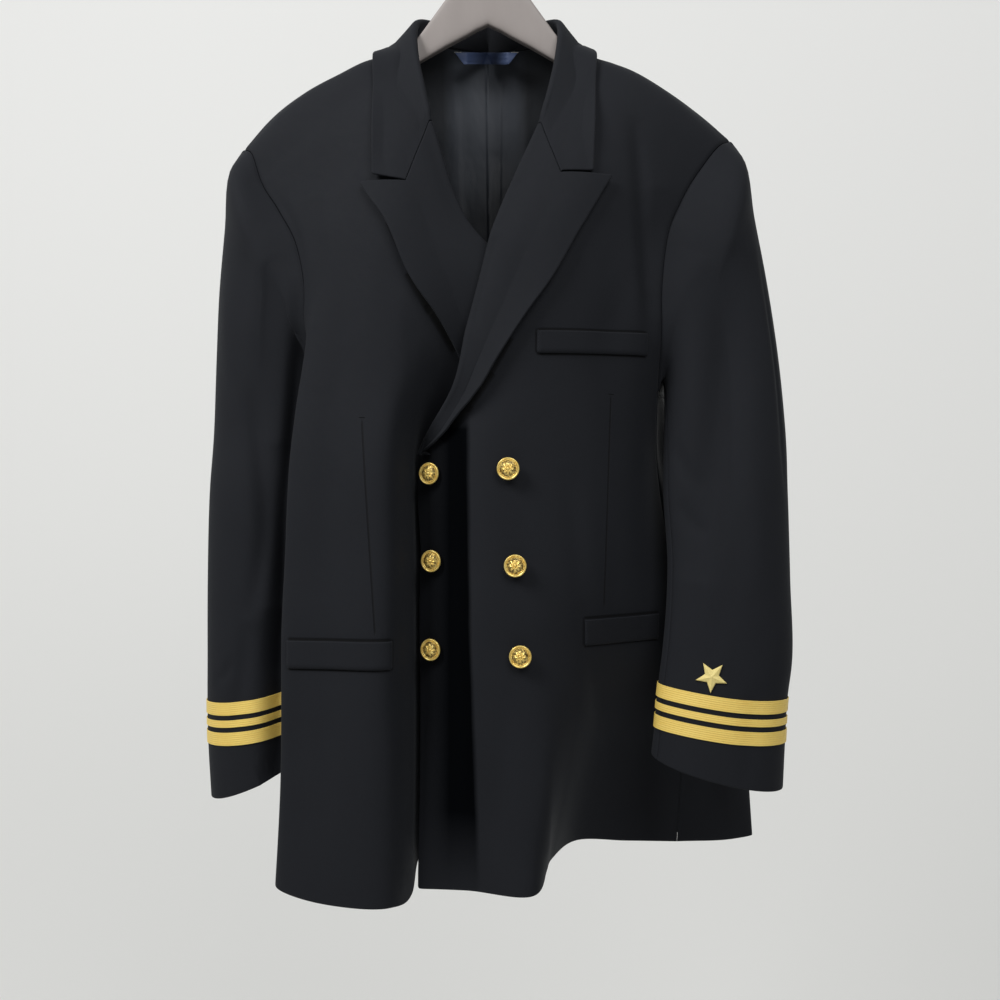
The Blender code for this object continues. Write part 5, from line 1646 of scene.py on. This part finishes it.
def make_star(half, x, y, z, turned, radius, lean, foot):
    """A five-pointed star with a ridge along each point, embroidered across its points."""
    cover = half["sleeve_skin"]
    outward, side = turned_from_front(turned)
    centre = np.array((x, y, z)) + outward * STAR_REACH
    around = 10 * STAR_COLUMNS
    upper, lower, u, v = [], [], [], []
    for part in STAR_PARTS:
        for c in range(around):
            k, t = divmod(c, STAR_COLUMNS)
            t /= STAR_COLUMNS
            tips = []
            for corner in (k, k + 1):
                a = math.radians(lean - 90) + math.pi * corner / 5
                r = radius if corner % 2 == 0 else radius * STAR_NOTCH
                tips.append(np.array((r * math.cos(a), r * math.sin(a))))
            flat = part * (tips[0] * (1 - t) + tips[1] * t)
            start = centre + side * flat[0] + np.array((0, 0, flat[1]))
            place, normal, _, _ = cover.ray_cast(Vector(start), Vector(-outward))
            past = max(0.0, (part - STAR_ROUNDED) / (1 - STAR_ROUNDED))
            rounded = math.sqrt(max(0.0, 1 - past**2))
            height = (STAR_CREST - STAR_SLOPE * part) * rounded
            upper.append(place + normal * (foot + height))
            lower.append(place + normal * foot)
            way = tips[0] if k % 2 == 0 else tips[1]
            way = way / np.linalg.norm(way)
            u.append(flat.dot(way))
            v.append(flat[0] * way[1] - flat[1] * way[0])
    quads = ring_faces(len(STAR_PARTS), around)[1]
    faces = np.concatenate((quads, quads[:, ::-1] + len(upper)))
    cloth_piece("star_" + half["name"], np.array(upper + lower) * MM, faces, "star", u, v)


# The rows of the back that are lined, its columns drawn finer for the folds, and the lining's wall.
LINING_ROWS = 8 * ROW_FINE
LINING_FINE = 4
LINING = 1.0
# The label's wall and lift, its rows and columns, and the columns to each side that smooth its form.
LABEL_WALL = 0.8
LABEL_LIFT = 0.9
LABEL_ROWS = 9
LABEL_COLUMNS = 40
LABEL_SMOOTH = 6
# The columns that a tack at the label's upper corners runs over, and its lift off the label's face.
TACK_COLUMNS = 5
TACK_LIFT = 0.1
# The lining's folds. Columns: x at the top and at the bottom, the width to each side, how far it stands out,
# and z of the two heights between which it shows.
LINING_FOLDS = (
    (-3, 2, 0.9, 10.0, 1.7, -100, -420),
    (13.5, 12.5, 5.0, 1.5, 0.9, -155, -300),
    (22.0, 21.0, 3.2, 7.0, 0.4, -155, -300),
    (-36, -32, 7.0, 5.0, 0.8, -150, -330),
    (42, 38, 6.0, 6.0, 0.7, -170, -330),
)
# A fold rises this many times as fast at its ends as a plain arch, and is level between.
FOLD_ENDS = 3


def make_lining():
    """The back's lining with its pleat, seen through the neck, and the bare label sewn on it."""
    rows = slice(LOW_ROWS + HIGH_ROWS - 1 - LINING_ROWS, LOW_ROWS + HIGH_ROWS)
    columns = slice(0, NECK_COLUMNS + 1)

    def inside(depth):
        """Both backs' surfaces in one grid, this far inside the outer one."""
        right = (RIGHT["back_grid"] - depth * RIGHT["back_out"])[rows, columns][:, ::-1]
        left = (LEFT["back_grid"] - depth * LEFT["back_out"])[rows, columns]
        return draw_in(np.concatenate((right, left[:, 1:]), axis=1), left=False, right=False, high=True)

    surface = finer(inside(CLOTH + LIFT + LINING), 1, LINING_FINE)
    out = towards_viewer(surface)
    rise = np.zeros(surface.shape[:2])
    for x_top, x_low, left_width, right_width, height, z_top, z_low in LINING_FOLDS:
        down = np.clip((z_top - surface[..., 2]) / (z_top - z_low), 0, 1)
        beside = surface[..., 0] - (x_top + (x_low - x_top) * down)
        width = np.where(beside < 0, left_width, right_width)
        rise += height * np.exp(-(beside / width)**2) * np.minimum(1, np.sin(np.pi * down) * FOLD_ENDS)
    surface = surface + rise[..., None] * out
    out = towards_viewer(surface)
    wall("back_lining", surface, out, LINING, "satin", left="plain", right="plain", low="free", high="plain")
    cover = skin((surface[:, ::-1], 1))
    table = np.array(LABEL, float)
    levels = np.linspace(0, 1, len(table))
    rows = []
    for down in np.linspace(1, 0, LABEL_ROWS):
        z, x_from, x_to = [np.interp(down, levels, table[:, k]) for k in range(3)]
        line = []
        for x in np.linspace(x_from, x_to, LABEL_COLUMNS):
            y = min(seen_on(cover, x, level_z)[0][1] for level_z in table[:, 0])
            line.append((x, y - LABEL_LIFT / 2, z))
        line = np.array(line)
        for fold in (np.min, np.mean):
            line[:, 1] = [fold(line[max(0, k - LABEL_SMOOTH):k + LABEL_SMOOTH + 1, 1])
                          for k in range(len(line))]
        deepest = line[:, 1].max()
        rows.append([(x, y, z - LABEL_FALL * (deepest - y)) for x, y, z in line])
    grid = np.array(rows)
    out = towards_viewer(grid)
    wall("neck_label", grid + LABEL_WALL * out, out, LABEL_WALL, "label", left="free", right="free",
         low="free", high="free")
    face = grid + (LABEL_WALL + TACK_LIFT) * out
    for column, step in ((0, 1), (-1, -1)):
        STITCHING["tack"].append((face[0, column:column + TACK_COLUMNS * step:step], False))


def towards_viewer(grid):
    """The directions off a grid that lies across the view, towards the front."""
    out = facing(grid, 1)
    return -out if out[len(out) // 2, out.shape[1] // 2, 1] > 0 else out


# The points round the hanger, the sections to each row of its table, and how square its section is across and
# up it: 1 is round, less is squarer.
HANGER_ROUND = 48
HANGER_FINE = 6
HANGER_SQUARE = (0.3, 0.42)


def make_hanger():
    """A plain shaped hanger, flat in front and behind, that fits under the shoulders."""
    cover = body_skin()
    table = np.array([(-x, top, low, thick) for x, top, low, thick in HANGER[:0:-1]] + list(HANGER), float)
    spots = np.arange(0, len(table) - 1 + 0.5 / HANGER_FINE, 1 / HANGER_FINE)
    stations = np.stack([np.interp(spots, range(len(table)), table[:, k]) for k in range(4)], axis=1)
    rings = []
    for x, top, low, thick in stations:
        loop = []
        for k in range(HANGER_ROUND):
            a = 2 * math.pi * (k + 0.5) / HANGER_ROUND
            c, s = math.cos(a), math.sin(a)
            y = thick / 2 * math.copysign(abs(c)**HANGER_SQUARE[0], c)
            z = (top + low) / 2 + (top - low) / 2 * math.copysign(abs(s)**HANGER_SQUARE[1], s)
            roof, normal, _, _ = cover.ray_cast(Vector((x, y, 0)), Vector((0, 0, -1)))
            if roof is not None and roof.z > top - HANGER_REACH and abs(x) > HANGER_BEARING:
                z = min(z, roof.z - (CLOTH + HANGER_GAP) / normal.z)
            loop.append((x, y, z))
        rings.append(loop)
    ringed("hanger_body", np.array(rings), "hanger")


# The points round the hook's wire, and the steps along it.
WIRE_ROUND = 24
WIRE_STEPS = 150


def make_hook():
    """The wire hook, standing on the hanger's neck, its end rounded."""
    foot = HANGER[0][1] + SEAM
    path = curve([(x, z) for x, z in HOOK], np.linspace(0, 1, WIRE_STEPS + 1))
    path[:, 1] = np.maximum(path[:, 1], foot)
    path = np.concatenate(([(0, foot)], path[path[:, 1] > foot + 0.01]))
    along = unit(np.gradient(path, axis=0))
    along[0] = (0, 1)
    left = length_shares(path[::-1])[::-1] * np.linalg.norm(np.diff(path, axis=0), axis=1).sum()
    rings = []
    for (x, z), (tx, tz), rest in zip(path, along, left):
        near = 1 - min(1, rest / HOOK_WIRE)
        wire = HOOK_WIRE * max(0.05, math.sqrt(1 - near**2))
        angles = 2 * math.pi * np.arange(WIRE_ROUND) / WIRE_ROUND
        rings.append([(x - tz * wire * math.cos(a), wire * math.sin(a), z + tx * wire * math.cos(a))
                      for a in angles])
    ringed("hanger_hook", np.array(rings), "wire")


# How the sewing looks. Columns: pitch, length and thickness of a stitch in millimetres.
STITCHES = {
    "lace": (2.4, 1.5, 0.28),
    "cloth": (3.0, 2.0, 0.32),
    "tack": (0.8, 0.9, 0.55),
    "beads": (1.0, 0.86, 0.86),
}


def repeated(name, kind, look):
    """Stitches or beads of one kind, repeated along their lines by one node tree."""
    pitch, length, thick = STITCHES[kind]
    points, edges = [], []
    for line, goes_round in STITCHING[kind]:
        start = len(points)
        points += [tuple(p) for p in np.asarray(line) * MM]
        edges += [(k, k + 1) for k in range(start, len(points) - 1)]
        if goes_round:
            edges.append((len(points) - 1, start))
    mesh = bpy.data.meshes.new(name + "_lines")
    mesh.from_pydata(points, edges, [])
    source = added(name + "_lines", mesh)
    modifier = source.modifiers.new("repeat", "NODES")
    modifier.node_group = REPEAT_ALONG
    wanted = {"Pitch": pitch * MM, "Length": length * MM, "Thickness": thick * MM, "Material": LOOKS[look]}
    for item in REPEAT_ALONG.interface.items_tree:
        if item.item_type == "SOCKET" and item.in_out == "INPUT" and item.name in wanted:
            modifier[item.identifier] = wanted[item.name]
    bpy.context.view_layer.update()
    graph = bpy.context.evaluated_depsgraph_get()
    made = bpy.data.meshes.new_from_object(source.evaluated_get(graph))
    source.modifiers.remove(modifier)
    bpy.data.objects.remove(source, do_unlink=True)
    piece(name, made, look)


def repeat_tree():
    """The node tree that lays one small rounded shape at every pitch of a line, turned along it."""
    tree = bpy.data.node_groups.new("repeat_along", "GeometryNodeTree")
    tree.interface.new_socket("Geometry", in_out="INPUT", socket_type="NodeSocketGeometry")
    for name in ("Pitch", "Length", "Thickness"):
        tree.interface.new_socket(name, in_out="INPUT", socket_type="NodeSocketFloat")
    tree.interface.new_socket("Material", in_out="INPUT", socket_type="NodeSocketMaterial")
    tree.interface.new_socket("Geometry", in_out="OUTPUT", socket_type="NodeSocketGeometry")
    nodes, links = tree.nodes, tree.links
    start, end = nodes.new("NodeGroupInput"), nodes.new("NodeGroupOutput")
    line = nodes.new("GeometryNodeMeshToCurve")
    spots = nodes.new("GeometryNodeCurveToPoints")
    spots.mode = "LENGTH"
    grain = nodes.new("GeometryNodeMeshIcoSphere")
    grain.inputs["Radius"].default_value = 0.5
    grain.inputs["Subdivisions"].default_value = 2
    turned = nodes.new("FunctionNodeAlignRotationToVector")
    turned.axis = "X"
    sizes = nodes.new("ShaderNodeCombineXYZ")
    placed = nodes.new("GeometryNodeInstanceOnPoints")
    real = nodes.new("GeometryNodeRealizeInstances")
    painted = nodes.new("GeometryNodeSetMaterial")
    for one, other in ((start.outputs["Geometry"], line.inputs["Mesh"]),
                       (line.outputs["Curve"], spots.inputs["Curve"]),
                       (start.outputs["Pitch"], spots.inputs["Length"]),
                       (spots.outputs["Tangent"], turned.inputs["Vector"]),
                       (spots.outputs["Points"], placed.inputs["Points"]),
                       (turned.outputs["Rotation"], placed.inputs["Rotation"]),
                       (grain.outputs["Mesh"], placed.inputs["Instance"]),
                       (start.outputs["Length"], sizes.inputs["X"]),
                       (start.outputs["Thickness"], sizes.inputs["Y"]),
                       (start.outputs["Thickness"], sizes.inputs["Z"]),
                       (sizes.outputs["Vector"], placed.inputs["Scale"]),
                       (placed.outputs["Instances"], real.inputs["Geometry"]),
                       (real.outputs["Geometry"], painted.inputs["Geometry"]),
                       (start.outputs["Material"], painted.inputs["Material"]),
                       (painted.outputs["Geometry"], end.inputs["Geometry"])):
        links.new(one, other)
    return tree


REPEAT_ALONG = repeat_tree()
body_side(LEFT)
body_side(RIGHT)
for half in (LEFT, RIGHT):
    body_outs(half)
    press(half)
share(LEFT["back_out"][:, 0], RIGHT["back_out"][:, 0])
for make in (make_body, make_lapel):
    make(LEFT)
    make(RIGHT)
make_collar()
for make in (make_sleeve, make_lace):
    make(LEFT)
    make(RIGHT)
make_star(LEFT, *STARS["star_left"])
make_star(RIGHT, *STARS["star_right"])
for welt, numbers in WELTS.items():
    make_welt(welt, *numbers)
for button, numbers in BUTTONS.items():
    make_button(button, *numbers)
make_lining()
make_hanger()
make_hook()
repeated("lace_stitches", "lace", "lace")
repeated("welt_stitches", "cloth", "navy_thread")
repeated("label_tacks", "tack", "white_thread")
repeated("button_beads", "beads", "gilt_beads")

# The camera stands level in front of the jacket: its lens in millimetres and its place in metres.
LENS = 46.8
VIEW = (0.0126, -1.38, -0.6186)
camera = added("camera", bpy.data.cameras.new("camera"))
camera.data.lens = LENS
camera.location = VIEW
camera.rotation_euler = (math.pi / 2, 0, 0)
bpy.context.scene.camera = camera


def backdrop():
    """A light-coloured floor that sweeps up into a wall behind the jacket, glowing with painted light."""
    floor, ceiling, wall_y, bend = -1.75, 4.0, 1.6, 0.6
    reach_out, steps = 6.0, 12
    line = [(-reach_out, floor), (wall_y - bend, floor)]
    for k in range(1, steps + 1):
        a = math.pi / 2 * k / steps
        line.append((wall_y - bend + bend * math.sin(a), floor + bend - bend * math.cos(a)))
    line.append((wall_y, ceiling))
    points = [(x, y, z) for y, z in line for x in (-reach_out, reach_out)]
    faces = [(2 * k, 2 * k + 1, 2 * k + 3, 2 * k + 2) for k in range(len(line) - 1)]
    mesh = bpy.data.meshes.new("backdrop")
    mesh.from_pydata(points, [], faces)
    mesh.shade_smooth()
    # Painted light: the paper glows, brighter higher up and dim on the floor near the front.
    paper = Finish("paper", (0.46, 0.46, 0.45), 0.9, Emission_Strength=0.53)
    _, away, z = paper.place()
    glow_by_height = paper.blend(((z + 1700) / 2200).clipped(), (0.67, 0.675, 0.655), (0.87, 0.875, 0.86))
    paper.set("Emission Color", paper.blend(((away - 300) / 900).clipped(), (0.16, 0.16, 0.155), glow_by_height))
    mesh.materials.append(paper.material)
    added("backdrop", mesh)


def soft_light(name, place, target, size, power):
    """A wide soft lamp at a place, turned to its target."""
    lamp = bpy.data.lights.new(name, "AREA")
    lamp.shape = "RECTANGLE"
    lamp.size, lamp.size_y = size
    lamp.energy = power
    made = added(name, lamp)
    made.location = place
    made.rotation_euler = (Vector(target) - Vector(place)).to_track_quat("-Z", "Y").to_euler()


backdrop()
soft_light("window", (-1.7, -1.35, 1.15), (0, 0, -0.55), (1.1, 1.1), 54)
soft_light("fill_light", (0.85, -2.1, 1.4), (0, 0, -0.3), (1.8, 1.8), 41)
# The air's own light on the jacket, and the plain grey that the camera sees past the backdrop.
world = bpy.data.worlds.new("studio")
world.use_nodes = True
nodes, links = world.node_tree.nodes, world.node_tree.links
ambient = nodes["Background"]
ambient.inputs["Color"].default_value = (0.97, 0.98, 1.0, 1)
ambient.inputs["Strength"].default_value = 0.12
seen = nodes.new("ShaderNodeBackground")
seen.inputs["Color"].default_value = (0.66, 0.66, 0.65, 1)
either = nodes.new("ShaderNodeMixShader")
rays = nodes.new("ShaderNodeLightPath")
links.new(rays.outputs["Is Camera Ray"], either.inputs[0])
links.new(ambient.outputs[0], either.inputs[1])
links.new(seen.outputs[0], either.inputs[2])
links.new(either.outputs[0], nodes["World Output"].inputs["Surface"])
bpy.context.scene.world = world
bpy.context.scene.view_settings.view_transform = "Standard"
